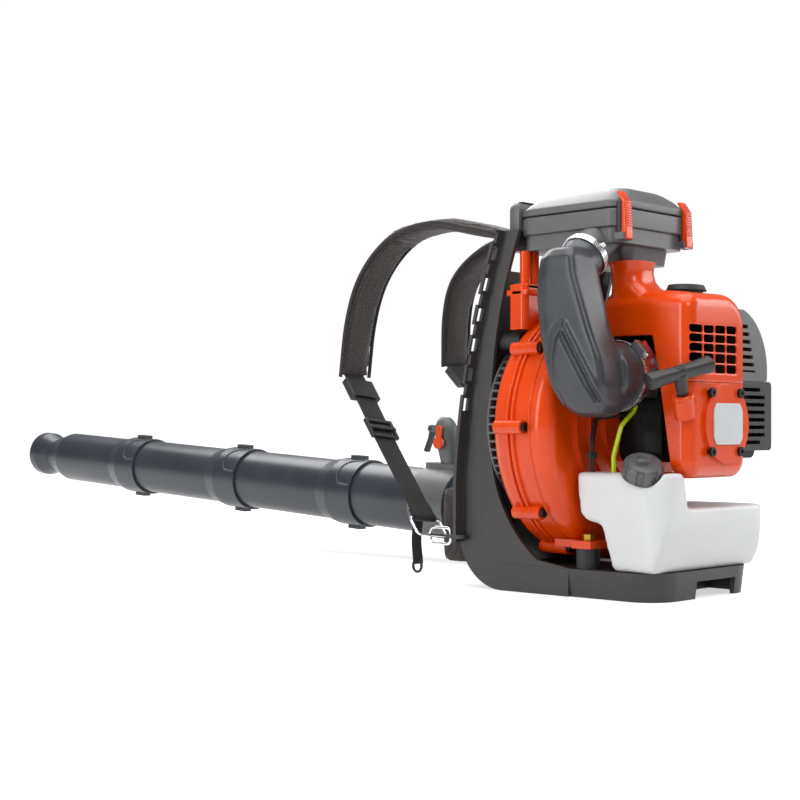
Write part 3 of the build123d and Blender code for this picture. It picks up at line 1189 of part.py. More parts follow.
# Fuel tank: translucent, high on the left and low under the starter, with a slanted seat for the cap
cap_lean = Vector(*CAP_LEAN).normalized()
tank_floor = DECK_TOP + GAP
with BuildPart() as fuel_tank:
    with BuildSketch(facing_rear(TANK_REAR + 5)) as tank_rear_view:
        with BuildLine():
            FilletPolyline(
                (TANK_RIGHT + 16, tank_floor), (TANK_RIGHT, TANK_LOW), (TANK_STEP - 12, TANK_LOW),
                (TANK_STEP, TANK_HIGH), (TANK_LEFT, TANK_HIGH), (TANK_LEFT - 8, tank_floor), radius=8, close=True
            )
        make_face()
    extrude(amount=2 * TANK_REAR)
    with BuildSketch(across(2 * TANK_RIGHT)):
        with BuildLine():
            FilletPolyline(
                (TANK_FRONT, TANK_HIGH + 4), (TANK_FRONT + 6, NOTCH_TOP), (TANK_FRONT + 14, NOTCH_TOP - 9),
                (TANK_FRONT + 38, NOTCH_LOW), (TANK_FRONT + NOTCH_DEEP, tank_floor - 4), (TANK_REAR - 22, tank_floor - 4),
                (TANK_REAR - 2, TANK_LOW - 16),
                (TANK_REAR, TANK_HIGH + 4), radius=3, close=True
            )
        make_face()
    extrude(amount=-4 * TANK_RIGHT, mode=Mode.INTERSECT)
    with BuildSketch(Plane.XY.offset(tank_floor)) as tank_plan:
        with Locations(((TANK_LEFT + TANK_RIGHT) / 2, (TANK_FRONT + TANK_REAR) / 2)):
            Rectangle(TANK_LEFT - TANK_RIGHT, TANK_REAR - TANK_FRONT)
        fillet(tank_plan.vertices().group_by(Axis.Y)[-1], TANK_CORNER)
        fillet(tank_plan.vertices().group_by(Axis.Y)[0], 10)
    extrude(amount=TANK_HIGH, mode=Mode.INTERSECT)
    with BuildSketch(Plane(origin=CAP_AT, z_dir=cap_lean)):
        Circle(CAP_R + 5)
    extrude(amount=80, mode=Mode.SUBTRACT)
    with BuildSketch(Plane(origin=CAP_AT, z_dir=cap_lean)):
        Circle(CAP_NECK_R)
    extrude(amount=10)
finish(fuel_tank, "fuel_tank")

# Fuel cap: screws onto the tank's neck, with grip lobes round its edge
with BuildPart() as fuel_cap:
    with BuildSketch(Plane(origin=CAP_AT, z_dir=cap_lean).offset(GAP)):
        Circle(CAP_R)
        with PolarLocations(CAP_R, CAP_LOBES):
            Circle(3.5)
    extrude(amount=CAP_HIGH)
    with BuildSketch(Plane(origin=CAP_AT, z_dir=cap_lean)):
        Circle(CAP_NECK_R + RUNNING)
    extrude(amount=10 + GAP, mode=Mode.SUBTRACT)
finish(fuel_cap, "fuel_cap")

# Fuel line: yellow-green hose from the tank's top to the carburettor's underside
carb_low = CARB_Z - CARB_HALF - 4
with BuildPart() as fuel_line:
    with BuildLine() as fuel_path:
        FilletPolyline(
            (98, 94, TANK_HIGH), (98, 94, TANK_HIGH + 20), (98, 106, carb_low - 36), (CARB_LEFT - 10, 110, carb_low - 16),
            (CARB_LEFT - 10, 110, carb_low), radius=10
        )
    with BuildSketch(Plane(origin=fuel_path.line @ 0, z_dir=fuel_path.line % 0)):
        Circle(FUEL_LINE_R)
    sweep(path=fuel_path.line)
finish(fuel_line, "fuel_line")

# Stop wires: two black wires from the crankcase over the tank, held by one clip
with BuildPart() as stop_wires:
    for wire_x in (102, 108):
        with BuildLine() as wire_path:
            FilletPolyline(
                (wire_x, 66, TANK_HIGH), (wire_x, 66, 200), (wire_x - 12, 62, 226),
                (CASE_HALF + 14, 76, 340 - wire_x), (CASE_HALF, 76, 340 - wire_x), radius=6
            )
        with BuildSketch(Plane(origin=wire_path.line @ 0, z_dir=wire_path.line % 0)):
            Circle(1.5)
        sweep(path=wire_path.line)
    with Locations((105, 66, 181)):
        Box(14, 6, 8)
finish(stop_wires, "stop_wires")

# Back pad: cushion on the frame's panel, crowned towards the wearer
pad_normal = Vector(0, -0.979, 0.202)
pad_plane = Plane(origin=(0, arc_y(panel_set, BACK_PAD_Z) - GAP, BACK_PAD_Z), x_dir=(1, 0, 0), z_dir=pad_normal)
with BuildPart() as back_pad:
    for lift, width, height in ((0, 176, 206), (10, 188, 218), (22, 150, 180)):
        with BuildSketch(pad_plane.offset(lift)):
            RectangleRounded(width, height, 24)
    loft()
finish(back_pad, "back_pad")

# Hip pad: a curved cushion across the lower back, whose wings reach forward
with BuildPart() as hip_pad:
    hip_rear = HEEL_TOP[0] + PANEL_SET - GAP
    for pad_z, thick in ((24, 14), (81, 30), (138, 14)):
        with BuildSketch(Plane.XY.offset(pad_z)):
            with BuildLine():
                rear_arc = ThreePointArc((-HIP_HALF, HIP_FRONT), (0, hip_rear), (HIP_HALF, HIP_FRONT))
                tip = HIP_HALF - thick * 0.6
                front_arc = ThreePointArc((-tip, HIP_FRONT - 6), (0, hip_rear - thick), (tip, HIP_FRONT - 6))
                Line(rear_arc @ 0, front_arc @ 0)
                Line(rear_arc @ 1, front_arc @ 1)
            make_face()
    loft()
finish(hip_pad, "hip_pad")


def turned(tangent, start, end):
    """Heading at the end of an arc that leaves its start along a tangent, in a side view."""
    chord = (Vector(*end) - Vector(*start)).normalized()
    return chord * 2 * chord.dot(tangent) - tangent


def arc_middle(tangent, start, end):
    """Middle of an arc that leaves its start along a tangent, in a side view."""
    chord = Vector(*end) - Vector(*start)
    along = chord.normalized()
    aside = tangent - along * along.dot(tangent)
    half_turn = atan2(aside.length, along.dot(tangent))
    bulge = aside.normalized() * (chord.length / 2 * tan(half_turn / 2))
    middle = Vector(*start) + chord / 2 + bulge
    return (middle.X, middle.Y)


# Shoulder pads: crowned cushions from the frame's top, down in front of the wearer's shoulders
pad_headings = []
with BuildPart() as shoulder_pads:
    for strap_x, points in ((STRAP_X, PAD_PATH), (-STRAP_X, RIGHT_PAD_PATH)):
        first_heading = (Vector(*points[1]) - Vector(*points[0])).normalized()
        second_heading = turned(first_heading, points[1], points[2])
        pad_headings.append(turned(second_heading, points[2], points[3]))
        with BuildLine(across(strap_x)) as pad_path:
            Line(points[0], points[1])
            ThreePointArc(points[1], arc_middle(first_heading, points[1], points[2]), points[2])
            ThreePointArc(points[2], arc_middle(second_heading, points[2], points[3]), points[3])
        with BuildSketch(Plane(origin=pad_path.line @ 0, x_dir=(1, 0, 0), z_dir=pad_path.line % 0)):
            with BuildLine():
                upper = ThreePointArc((-PAD_WIDE / 2, 3), (0, PAD_THICK / 2), (PAD_WIDE / 2, 3))
                lower = ThreePointArc((-PAD_WIDE / 2, -3), (0, -PAD_THICK / 2), (PAD_WIDE / 2, -3))
                Line(upper @ 0, lower @ 0)
                Line(upper @ 1, lower @ 1)
            make_face()
        sweep(path=pad_path.line)
finish(shoulder_pads, "shoulder_pads")

# Each strap runs straight from the pad's end to a steel ring; a hook joins the ring to the frame's tab
hook_y = HEEL_TOP[0] - TAB_HOLE
hook_far = hook_y - HOOK_LONG
strap_lines = []
for strap_x, points, heading, tab in (
    (STRAP_X, PAD_PATH, pad_headings[0], left_tab),
    (-STRAP_X, RIGHT_PAD_PATH, pad_headings[1], right_tab),
):
    ring_near = Vector(tab[0], hook_far + 2 * WIRE_R + GAP, tab[2] + TAB_WALL / 2)
    pad_end = Vector(strap_x, *points[3])
    strap_lean = (ring_near - pad_end).normalized()
    across_strap = (Vector(1, 0, 0) - strap_lean * strap_lean.X).normalized()
    pad_heading = Vector(0, heading.X, heading.Y)
    rear_reach = abs(across_strap.dot(pad_heading)) * BUCKLE_WIDE / 2
    rear_reach += abs(across_strap.cross(strap_lean).dot(pad_heading)) * BUCKLE_THICK / 2
    start = pad_end + strap_lean * ((GAP + rear_reach) / strap_lean.dot(pad_heading))
    strap_lines.append((start, ring_near, strap_lean, across_strap))

# Webbing: flat band through the buckle, rolled round the ring, with a loose tail that hangs down
with BuildPart() as strap_webbing:
    for start, ring_near, strap_lean, across_strap in strap_lines:
        ring_far = ring_near - strap_lean * RING_LONG
        roll = WIRE_R + GAP
        with BuildSketch(Plane(origin=start, x_dir=across_strap, z_dir=strap_lean)):
            Rectangle(WEB_WIDE, WEB_THICK)
        extrude(amount=(ring_far - start).length - roll - WEB_THICK / 2)
        with BuildSketch(Plane(origin=ring_far, x_dir=strap_lean, z_dir=across_strap)):
            Circle(roll + WEB_THICK)
            Circle(roll, mode=Mode.SUBTRACT)
        extrude(amount=WEB_WIDE / 2, both=True)
        tail_top = ring_far - strap_lean * TAIL_BACK
        with Locations(tail_top - Vector(0, 0, TAIL_LONG / 2)):
            Box(WEB_WIDE / 2, WEB_THICK, TAIL_LONG)
        with BuildSketch(Plane(origin=tail_top, x_dir=(1, 0, 0), z_dir=(0, 1, 0))):
            with Locations((0, TAIL_LONG - 5)):
                Circle(2 * WIRE_R - 1)
        extrude(amount=WEB_THICK, both=True, mode=Mode.SUBTRACT)
finish(strap_webbing, "strap_webbing")

# Buckles: moulded frames that hold the webbing at the pads' ends
with BuildPart() as strap_buckles:
    for start, ring_near, strap_lean, across_strap in strap_lines:
        with BuildSketch(Plane(origin=start, x_dir=across_strap, z_dir=strap_lean)):
            RectangleRounded(BUCKLE_WIDE, BUCKLE_THICK, 3)
            Rectangle(WEB_WIDE + 2 * GAP, WEB_THICK + 2 * GAP, mode=Mode.SUBTRACT)
        extrude(amount=BUCKLE_LONG)
finish(strap_buckles, "strap_buckles")

# Pull rings in the ends of the loose tails
with BuildPart() as pull_rings:
    for start, ring_near, strap_lean, across_strap in strap_lines:
        ring_far = ring_near - strap_lean * RING_LONG
        tail_top = ring_far - strap_lean * TAIL_BACK
        with Locations(Plane(origin=tail_top - Vector(0, 0, TAIL_LONG - 5 + PULL_RING_R), z_dir=(1, 0, 0))):
            Torus(PULL_RING_R, WIRE_R)
finish(pull_rings, "pull_rings")

# Steel rings at the lower ends of the straps
with BuildPart() as strap_rings:
    for start, ring_near, strap_lean, across_strap in strap_lines:
        ring_half = WEB_WIDE / 2 + 4 * WIRE_R
        with BuildLine(Plane(origin=ring_near, x_dir=across_strap, z_dir=across_strap.cross(strap_lean))) as ring_path:
            FilletPolyline(
                (-ring_half, 0), (ring_half, 0), (ring_half, -RING_LONG), (-ring_half, -RING_LONG),
                radius=3 * WIRE_R, close=True
            )
        with BuildSketch(Plane(origin=ring_path.line @ 0, z_dir=ring_path.line % 0)):
            Circle(WIRE_R)
        sweep(path=ring_path.line)
finish(strap_rings, "strap_rings")

# Snap hooks: oblong steel links through the frame's tabs and the rings
with BuildPart() as snap_hooks:
    for tab in (left_tab, right_tab):
        hook_z = tab[2] + TAB_WALL / 2
        with BuildLine(across(tab[0])) as hook_path:
            FilletPolyline(
                (hook_y, hook_z + HOOK_HALF), (hook_y, hook_z - HOOK_HALF),
                (hook_far, hook_z - HOOK_HALF), (hook_far, hook_z + HOOK_HALF), radius=HOOK_HALF - 3, close=True
            )
        with BuildSketch(Plane(origin=hook_path.line @ 0, z_dir=hook_path.line % 0)):
            Circle(WIRE_R)
        sweep(path=hook_path.line)
finish(snap_hooks, "snap_hooks")
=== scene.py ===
import bpy
from math import atan2, cos, pi, radians, sin
from mathutils import Matrix, Vector


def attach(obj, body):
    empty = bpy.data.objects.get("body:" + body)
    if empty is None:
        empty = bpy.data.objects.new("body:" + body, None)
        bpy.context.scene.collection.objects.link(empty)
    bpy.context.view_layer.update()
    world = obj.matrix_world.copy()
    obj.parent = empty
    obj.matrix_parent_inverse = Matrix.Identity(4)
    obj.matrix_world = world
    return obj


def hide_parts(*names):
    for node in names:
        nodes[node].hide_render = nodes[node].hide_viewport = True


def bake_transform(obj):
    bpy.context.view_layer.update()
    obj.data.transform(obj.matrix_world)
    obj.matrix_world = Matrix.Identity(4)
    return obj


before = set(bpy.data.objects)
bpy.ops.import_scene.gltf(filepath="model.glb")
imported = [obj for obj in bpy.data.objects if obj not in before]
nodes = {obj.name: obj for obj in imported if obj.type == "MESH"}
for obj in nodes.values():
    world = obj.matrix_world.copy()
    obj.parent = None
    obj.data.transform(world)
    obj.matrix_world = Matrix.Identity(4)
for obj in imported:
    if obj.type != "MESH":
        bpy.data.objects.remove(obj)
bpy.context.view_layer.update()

# Camera: a medium telephoto lens at knee height on the wearer's rear left, looking level.
# The small shift drops the horizon below the middle of the frame.
bpy.ops.object.select_all(action="DESELECT")
bpy.ops.object.camera_add(location=(1.6643, 1.2333, 0.212))
camera = bpy.context.object
camera.rotation_euler = Vector((-0.719, -0.695, 0)).to_track_quat("-Z", "Y").to_euler()
camera.data.sensor_width = 36
camera.data.lens = 68.4
camera.data.shift_y = 0.0388
camera.data.clip_end = 60
scene = bpy.context.scene
scene.camera = camera
scene.view_settings.view_transform = "Standard"


# Floor and light: a white sweep under soft boxes, as in a product studio. The floor is matt
# white card, and what the camera sees beyond it is plain white.
def linear(text):
    """Linear colour of an sRGB hex value."""
    parts = [int(text[i:i + 2], 16) / 255 for i in (1, 3, 5)]
    return tuple([p / 12.92 if p <= 0.04045 else ((p + 0.055) / 1.055) ** 2.4 for p in parts] + [1.0])


def add(tree, kind, links=(), **settings):
    """Add a node; a setting names an attribute or an input, and a link is (input, other node's output)."""
    node = tree.nodes.new(kind)
    for key, value in settings.items():
        if hasattr(node, key):
            setattr(node, key, value)
        else:
            node.inputs[key.replace("_", " ")].default_value = value
    for name, output in links:
        tree.links.new(node.inputs[name], output)
    return node


def blank(name):
    """A new node material, with its tree, empty but for the output."""
    material = bpy.data.materials.new(name)
    material.use_nodes = True
    tree = material.node_tree
    tree.nodes.clear()
    output = tree.nodes.new("ShaderNodeOutputMaterial")
    return material, tree, output


FLOOR_SIZE, FLOOR_DROP = 40, 0.0006
bpy.ops.mesh.primitive_plane_add(size=FLOOR_SIZE, location=(0, 0, -FLOOR_DROP))
floor = bpy.context.object
floor.name = "floor"
card, tree, output = blank("matt_white_card")
path = add(tree, "ShaderNodeLightPath").outputs
plain = add(tree, "ShaderNodeBsdfDiffuse", Color=linear("#D2D2D2"))
place = add(tree, "ShaderNodeTexCoord").outputs["Object"]
away = add(tree, "ShaderNodeVectorMath", [(0, place)], operation="LENGTH").outputs["Value"]
fade = add(tree, "ShaderNodeMapRange", [("Value", away)], From_Min=1.0, From_Max=3.2, To_Min=0.6)
bright = add(tree, "ShaderNodeEmission", [("Strength", fade.outputs[0])])
both = add(tree, "ShaderNodeAddShader", [(0, plain.outputs[0]), (1, bright.outputs[0])])
rays = [(0, path["Is Camera Ray"]), (1, path["Is Glossy Ray"])]
seen = add(tree, "ShaderNodeMath", rays, operation="MAXIMUM")
mix = add(tree, "ShaderNodeMixShader", [(0, seen.outputs[0]), (1, plain.outputs[0]), (2, both.outputs[0])])
tree.links.new(output.inputs[0], mix.outputs[0])
floor.data.materials.append(card)

world = bpy.data.worlds.new("studio")
scene.world = world
world.use_nodes = True
tree = world.node_tree
tree.nodes.clear()
path = add(tree, "ShaderNodeLightPath").outputs
lit = add(tree, "ShaderNodeBackground", Color=linear("#F2F4F6"), Strength=0.3)
white = add(tree, "ShaderNodeBackground", Color=(1, 1, 1, 1), Strength=1.0)
rays = [(0, path["Is Camera Ray"]), (1, path["Is Transmission Ray"])]
seen = add(tree, "ShaderNodeMath", rays, operation="MAXIMUM")
mix = add(tree, "ShaderNodeMixShader", [(0, seen.outputs[0]), (1, lit.outputs[0]), (2, white.outputs[0])])
add(tree, "ShaderNodeOutputWorld", [(0, mix.outputs[0])])

# Soft boxes, each with its place, target, width and height in metres and its power in watts
for place, target, width, height, power in (
    ((1.3, 2.0, 1.9), (0, 0.05, 0.3), 1.1, 0.9, 23),
    ((2.3, -0.9, 1.0), (0, -0.1, 0.25), 0.5, 1.8, 22),
    ((0.2, 0.1, 2.2), (0.05, 0, 0.2), 2.2, 2.2, 48),
    ((-0.9, -1.8, 1.9), (0, 0, 0.35), 2.0, 1.3, 46),
    ((-1.8, 1.2, 1.2), (0, 0.1, 0.3), 0.8, 1.4, 16),
):
    bpy.ops.object.light_add(type="AREA", location=place)
    lamp = bpy.context.object
    lamp.rotation_euler = (Vector(target) - Vector(place)).to_track_quat("-Z", "Y").to_euler()
    lamp.data.shape = "RECTANGLE"
    lamp.data.size, lamp.data.size_y = width, height
    lamp.data.energy = power


# Carrier frame: one glass-filled nylon moulding in dark grey with a fine spark-eroded grain,
# scuffed a little paler where it is handled. The CAD node is shown as it is.
SCUFF_SIZE = 71.4


def toned(colour, factor, lift=0.0):
    """A linear colour made lighter or darker."""
    return tuple(min(1, c * factor + lift) for c in colour[:3]) + (1,)


def close(tree, output, links, height, under, strength, depth, **settings):
    """End a material: a bump of a depth in mm over a normal, and the shader with its links and settings."""
    bumps = [("Height", height.outputs[0]), ("Normal", under.outputs[0])]
    bump = add(tree, "ShaderNodeBump", bumps, Strength=strength, Distance=depth / 1000)
    shader = add(tree, "ShaderNodeBsdfPrincipled", links + [("Normal", bump.outputs[0])], **settings)
    tree.links.new(output.inputs[0], shader.outputs[0])


def moulded(name, colour, rough, grain, depth, pale=0.0, edge=0.8, coat=0.0, specular=0.5):
    """Moulded plastic: grain is its texture's size and depth its height in mm, pale its scuffing."""
    material, tree, output = blank(name)
    place = add(tree, "ShaderNodeTexCoord").outputs["Object"]
    fine = add(tree, "ShaderNodeTexNoise", [("Vector", place)], Scale=1000 / grain, Detail=3.0)
    scuffs = {"Scale": 1000 / SCUFF_SIZE, "Detail": 5.0, "Roughness": 0.62}
    wide = add(tree, "ShaderNodeTexNoise", [("Vector", place)], **scuffs)
    spread = add(tree, "ShaderNodeMapRange", [("Value", wide.outputs[0])], From_Min=0.35, From_Max=0.7)
    tint = add(tree, "ShaderNodeMix", [("Factor", spread.outputs[0])], data_type="RGBA")
    tint.inputs[6].default_value = toned(linear(colour), 0.97)
    tint.inputs[7].default_value = toned(linear(colour), 1.06 + pale, 0.035 * pale)
    gloss = add(
        tree, "ShaderNodeMapRange", [("Value", wide.outputs[0])],
        From_Min=0.3, From_Max=0.7, To_Min=rough * 0.88, To_Max=min(1, rough * 1.14),
    )
    soft = add(tree, "ShaderNodeBevel", samples=4, Radius=edge / 1000)
    links = [("Base Color", tint.outputs[2]), ("Roughness", gloss.outputs[0])]
    finish = {"Coat_Weight": coat, "Coat_Roughness": 0.08, "Specular_IOR_Level": specular}
    close(tree, output, links, fine, soft, 0.6, depth, **finish)
    return material


def dress(piece, material):
    """Give a piece one material."""
    piece.data.materials.clear()
    piece.data.materials.append(material)


def paint(material, *names):
    """Give CAD nodes a material."""
    for name in names:
        dress(nodes[name], material)


nylon_dark = moulded("glass_filled_nylon_dark_grey", "#302F2E", 0.44, 0.9, 0.06, pale=0.12)
paint(nylon_dark, "carrier_frame")

# Fan housing, starter housing, filter posts and cruise lever: gloss orange ABS, smooth enough to
# mirror the soft boxes, with a faint orange peel.
abs_orange = moulded("gloss_abs_orange", "#DF4400", 0.26, 6.0, 0.01, edge=1.4, coat=0.25, specular=0.3)
paint(abs_orange, "fan_housing_front", "fan_housing_rear", "starter_housing", "filter_posts", "cruise_lever")

# Fan wheel, starter pulley, buckles, pull rings, heat shield and trigger: black nylon with a fine
# grain, rubbed a little grey.
nylon_black = moulded("moulded_nylon_black", "#1C1C1D", 0.46, 0.9, 0.05, pale=0.2)
paint(nylon_black, "impeller", "starter_pulley", "heat_shield", "throttle_trigger")
paint(nylon_black, "strap_buckles", "pull_rings")


# Metal parts: plated or blackened steel for screws, clamps and shafts, chrome for the strap's rings,
# and cast alloy for the engine. All have fine turning lines, uneven gloss and a soft edge.
STAIN_SIZE = 25
METAL_EDGE = 0.0004


def metal(name, colour, rough, grain, depth):
    """Metal with fine working marks; grain and depth in mm."""
    material, tree, output = blank(name)
    place = add(tree, "ShaderNodeTexCoord").outputs["Object"]
    stretch = add(tree, "ShaderNodeMapping", [("Vector", place)], Scale=(1.0, 1.0, 6.0))
    marks = add(tree, "ShaderNodeTexNoise", [("Vector", stretch.outputs[0])], Scale=1000 / grain, Detail=3.0)
    wide = add(tree, "ShaderNodeTexNoise", [("Vector", place)], Scale=1000 / STAIN_SIZE, Detail=4.0)
    gloss = add(
        tree, "ShaderNodeMapRange", [("Value", wide.outputs[0])],
        From_Min=0.3, From_Max=0.7, To_Min=rough * 0.7, To_Max=rough * 1.4,
    )
    tint = add(tree, "ShaderNodeMix", [("Factor", wide.outputs[0])], data_type="RGBA")
    tint.inputs[6].default_value = toned(linear(colour), 0.86)
    tint.inputs[7].default_value = linear(colour)
    soft = add(tree, "ShaderNodeBevel", samples=4, Radius=METAL_EDGE)
    links = [("Base Color", tint.outputs[2]), ("Roughness", gloss.outputs[0])]
    close(tree, output, links, marks, soft, 0.4, depth, Metallic=1.0)
    return material


zinc_steel = metal("zinc_plated_steel", "#C9CACC", 0.26, 0.8, 0.02)
paint(zinc_steel, "crankshaft", "starter_cup", "spark_plug")
paint(zinc_steel, "upper_hose_clamp", "lower_hose_clamp", "elbow_clamp", "tube_clamp")
black_steel = metal("black_oxide_steel", "#3A3A3C", 0.38, 0.8, 0.02)
paint(black_steel, "seam_screws", "starter_screws", "muffler")
chrome = metal("bright_chrome_plate", "#E2E3E5", 0.1, 2.0, 0.004)
paint(chrome, "strap_rings", "snap_hooks")
yellow_zinc = metal("yellow_zinc_steel", "#C79A3C", 0.3, 0.8, 0.02)
paint(yellow_zinc, "mount_bolts")
cast_alloy = metal("die_cast_aluminium", "#B4B5B8", 0.42, 1.2, 0.06)
paint(cast_alloy, "piston", "carburettor")
# Crankcase and cylinder: cast alloy coloured near black, painted shade for the dark inside of the engine cover
# seen through its air holes
shade_dark_alloy = metal("cast_alloy_darkened_as_shade", "#2A2A2B", 0.5, 1.2, 0.05)
paint(shade_dark_alloy, "crankcase", "cylinder")

# Rubber parts: mounts, plug cover, wires and bellows in soft black rubber, and a smoother, greyer one
# for the intake elbow. Both have a soft sheen and a bloom of grey.
rubber_black = moulded("moulded_rubber_black_grey", "#2D3034", 0.36, 1.4, 0.04, pale=0.25, edge=1.6)
rubber_soft = moulded("soft_rubber_black", "#1B1B1C", 0.6, 1.0, 0.06, pale=0.3)
paint(rubber_soft, "rubber_mounts", "plug_cover", "stop_wires", "bellows")

# Blower tube: blow-moulded polyethylene in blue-black, satin, with a faint mottled skin. The CAD's
# sections are shown as they are.
tube_black = moulded("moulded_polyethylene_blue_black", "#2A2F36", 0.33, 1.6, 0.012, pale=0.12, edge=1.2)
paint(tube_black, "outlet_elbow", "swivel_tube", "mid_tube", "front_tube", "nozzle")

# Grey mouldings: inlet grille, filter box, control handle with its clamp, and muffler guard, in satin
# nylon with a fine grain.
nylon_grey = moulded("satin_nylon_grey", "#58595A", 0.4, 0.8, 0.05, pale=0.1, edge=1.4)
paint(nylon_grey, "inlet_grille", "filter_box", "handle_clamp", "handle_grip", "muffler_guard")

# Badge: a blank anodised plate, satin and faintly uneven, let into the starter housing.
plate_silver = moulded("satin_anodised_plate_silver", "#C9CBCD", 0.36, 1.2, 0.004, edge=0.6, coat=0.1)
paint(plate_silver, "badge_plate")

# Fuel line, choke lever and filter element: clear yellow-green hose with a gloss, red acetal, and
# cream filter paper, matt and coarse.
fuel_green = moulded("clear_fuel_hose_yellow_green", "#BFD600", 0.22, 3.0, 0.02, edge=0.4, coat=0.3)
paint(fuel_green, "fuel_line")
choke_red = moulded("gloss_acetal_red", "#D81C10", 0.28, 2.0, 0.02, coat=0.2)
paint(choke_red, "choke_lever")
paper = moulded("pleated_filter_paper", "#CDBE94", 0.9, 0.8, 0.1)
paint(paper, "filter_element")


# Bellows: ribbed rubber hose, clamped to the elbow and the tube. It is a copy of the CAD's.
def alone(piece):
    """Select one object and nothing else."""
    bpy.ops.object.select_all(action="DESELECT")
    piece.select_set(True)
    bpy.context.view_layer.objects.active = piece


def edit(action):
    """Go into edit mode with all or nothing selected, as the action says."""
    bpy.ops.object.mode_set(mode="EDIT")
    bpy.ops.mesh.select_all(action=action)


def leave():
    """Go back to object mode."""
    bpy.ops.object.mode_set(mode="OBJECT")


def creased(degrees):
    """Shade the active piece smooth, but for its edges that turn by more than an angle."""
    bpy.ops.object.shade_smooth_by_angle(angle=radians(degrees))


def copied(node, name):
    """A merged, smooth copy of a CAD node as a piece of its own."""
    piece = bpy.data.objects.new(name, nodes[node].data.copy())
    scene.collection.objects.link(piece)
    alone(piece)
    edit("SELECT")
    bpy.ops.mesh.remove_doubles(threshold=0.00001)
    leave()
    creased(50)
    return piece


TUBE_RISE = radians(3.4)
tube_forward = Vector((0, -cos(TUBE_RISE), sin(TUBE_RISE)))
tube_up = Vector((0, sin(TUBE_RISE), cos(TUBE_RISE)))
tube_origin = Vector((-0.197, -0.004, 0.066))
hose = copied("bellows", "ribbed_hose")
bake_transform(hose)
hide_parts("bellows")


# Shoulder pads: foam in brown-black woven nylon, bound along both edges and sewn beside the binding.
# They are loops strung along the strap's route, stuffed by a short cloth simulation.
def meshed(name, points, faces):
    """A piece from points in metres and faces, all turned outwards."""
    mesh = bpy.data.meshes.new(name)
    mesh.from_pydata(points, [], faces)
    piece = bpy.data.objects.new(name, mesh)
    scene.collection.objects.link(piece)
    alone(piece)
    edit("SELECT")
    bpy.ops.mesh.normals_make_consistent(inside=False)
    leave()
    return piece


def shell(name, loops):
    """A closed, smooth mesh through equal loops of points."""
    count = len(loops[0])
    points = [p for loop in loops for p in loop]
    faces = []
    for i in range(len(loops) - 1):
        for j in range(count):
            k = (j + 1) % count
            faces.append((i * count + j, i * count + k, (i + 1) * count + k, (i + 1) * count + j))
    faces.append(tuple(range(count)))
    faces.append(tuple((len(loops) - 1) * count + j for j in range(count)))
    piece = meshed(name, points, faces)
    bpy.ops.object.shade_smooth()
    return piece


def applied(piece, kind, **settings):
    """Add a modifier with its settings to the active piece, and apply it."""
    modifier = piece.modifiers.new(kind.lower(), kind)
    for key, value in settings.items():
        setattr(modifier, key, value)
    bpy.ops.object.modifier_apply(modifier=modifier.name)


def stuff(piece, cap, voxel=0.005):
    """Fill a pad: even it out, blow it up as cloth and hold each point within cap metres."""
    alone(piece)
    applied(piece, "REMESH", mode="VOXEL", voxel_size=voxel)
    before = [v.co.copy() for v in piece.data.vertices]
    cloth = piece.modifiers.new("cloth", "CLOTH")
    cloth.settings.quality = 4
    cloth.settings.use_pressure = True
    cloth.settings.uniform_pressure_force = 4
    cloth.settings.effector_weights.gravity = 0
    for step in range(1, 21):
        scene.frame_set(step)
    bpy.ops.object.modifier_apply(modifier="cloth")
    scene.frame_set(1)
    for vertex, start in zip(piece.data.vertices, before):
        move = vertex.co - start
        if move.length > cap:
            vertex.co = start + move * (cap / move.length)
    bpy.ops.object.shade_smooth()


WEAR_SIZE, CREASE_SIZE, CREASE_DEEP = 38.46, 20.83, 0.003


def woven(name, colour, thread, depth, sheen):
    """Woven cloth: crossed threads of a spacing in mm, drawn coarse enough to show, with a painted highlight
    that makes the raised crossings up to twice as light.
    """
    material, tree, output = blank(name)
    place = add(tree, "ShaderNodeTexCoord").outputs["Object"]
    bands = {"Scale": 1000 / thread / (2 * pi), "Distortion": 0.6, "Detail": 2.0}
    warp = add(tree, "ShaderNodeTexWave", [("Vector", place)], bands_direction="X", **bands)
    weft = add(tree, "ShaderNodeTexWave", [("Vector", place)], bands_direction="Z", **bands)
    threads = [(0, warp.outputs["Fac"]), (1, weft.outputs["Fac"])]
    cross = add(tree, "ShaderNodeMath", threads, operation="MULTIPLY")
    wear = {"Scale": 1000 / WEAR_SIZE, "Detail": 6.0, "Roughness": 0.65}
    wide = add(tree, "ShaderNodeTexNoise", [("Vector", place)], **wear)
    tint = add(tree, "ShaderNodeMix", [("Factor", wide.outputs[0])], data_type="RGBA")
    tint.inputs[6].default_value = toned(linear(colour), 0.6)
    tint.inputs[7].default_value = toned(linear(colour), 1.6)
    # Painted highlight: where the threads cross and rise, the colour is lifted towards twice as light
    shade = add(tree, "ShaderNodeMix", [("Factor", cross.outputs[0]), (6, tint.outputs[2])], data_type="RGBA")
    shade.inputs[7].default_value = toned(linear(colour), 2.0, 0.004)
    crease = add(tree, "ShaderNodeTexNoise", [("Vector", place)], Scale=1000 / CREASE_SIZE, Detail=3.0)
    fold = add(tree, "ShaderNodeBump", [("Height", crease.outputs[0])], Strength=0.5, Distance=CREASE_DEEP)
    finish = {"Roughness": 0.82, "Sheen_Weight": sheen, "Sheen_Roughness": 0.4}
    close(tree, output, [("Base Color", shade.outputs[2])], cross, fold, 0.8, depth, **finish)
    return material


def smooth_line(points, steps):
    """Points along a smooth line through the given ones."""
    ends = [points[0] * 2 - points[1]] + list(points) + [points[-1] * 2 - points[-2]]
    line = []
    for i in range(1, len(ends) - 2):
        a, b, c, d = ends[i - 1:i + 3]
        for step in range(steps):
            t = step / steps
            bend = (2 * a - 5 * b + 4 * c - d) * t * t
            line.append(0.5 * ((2 * b) + (c - a) * t + bend + (3 * b - a - 3 * c + d) * t ** 3))
    return line + [points[-1]]


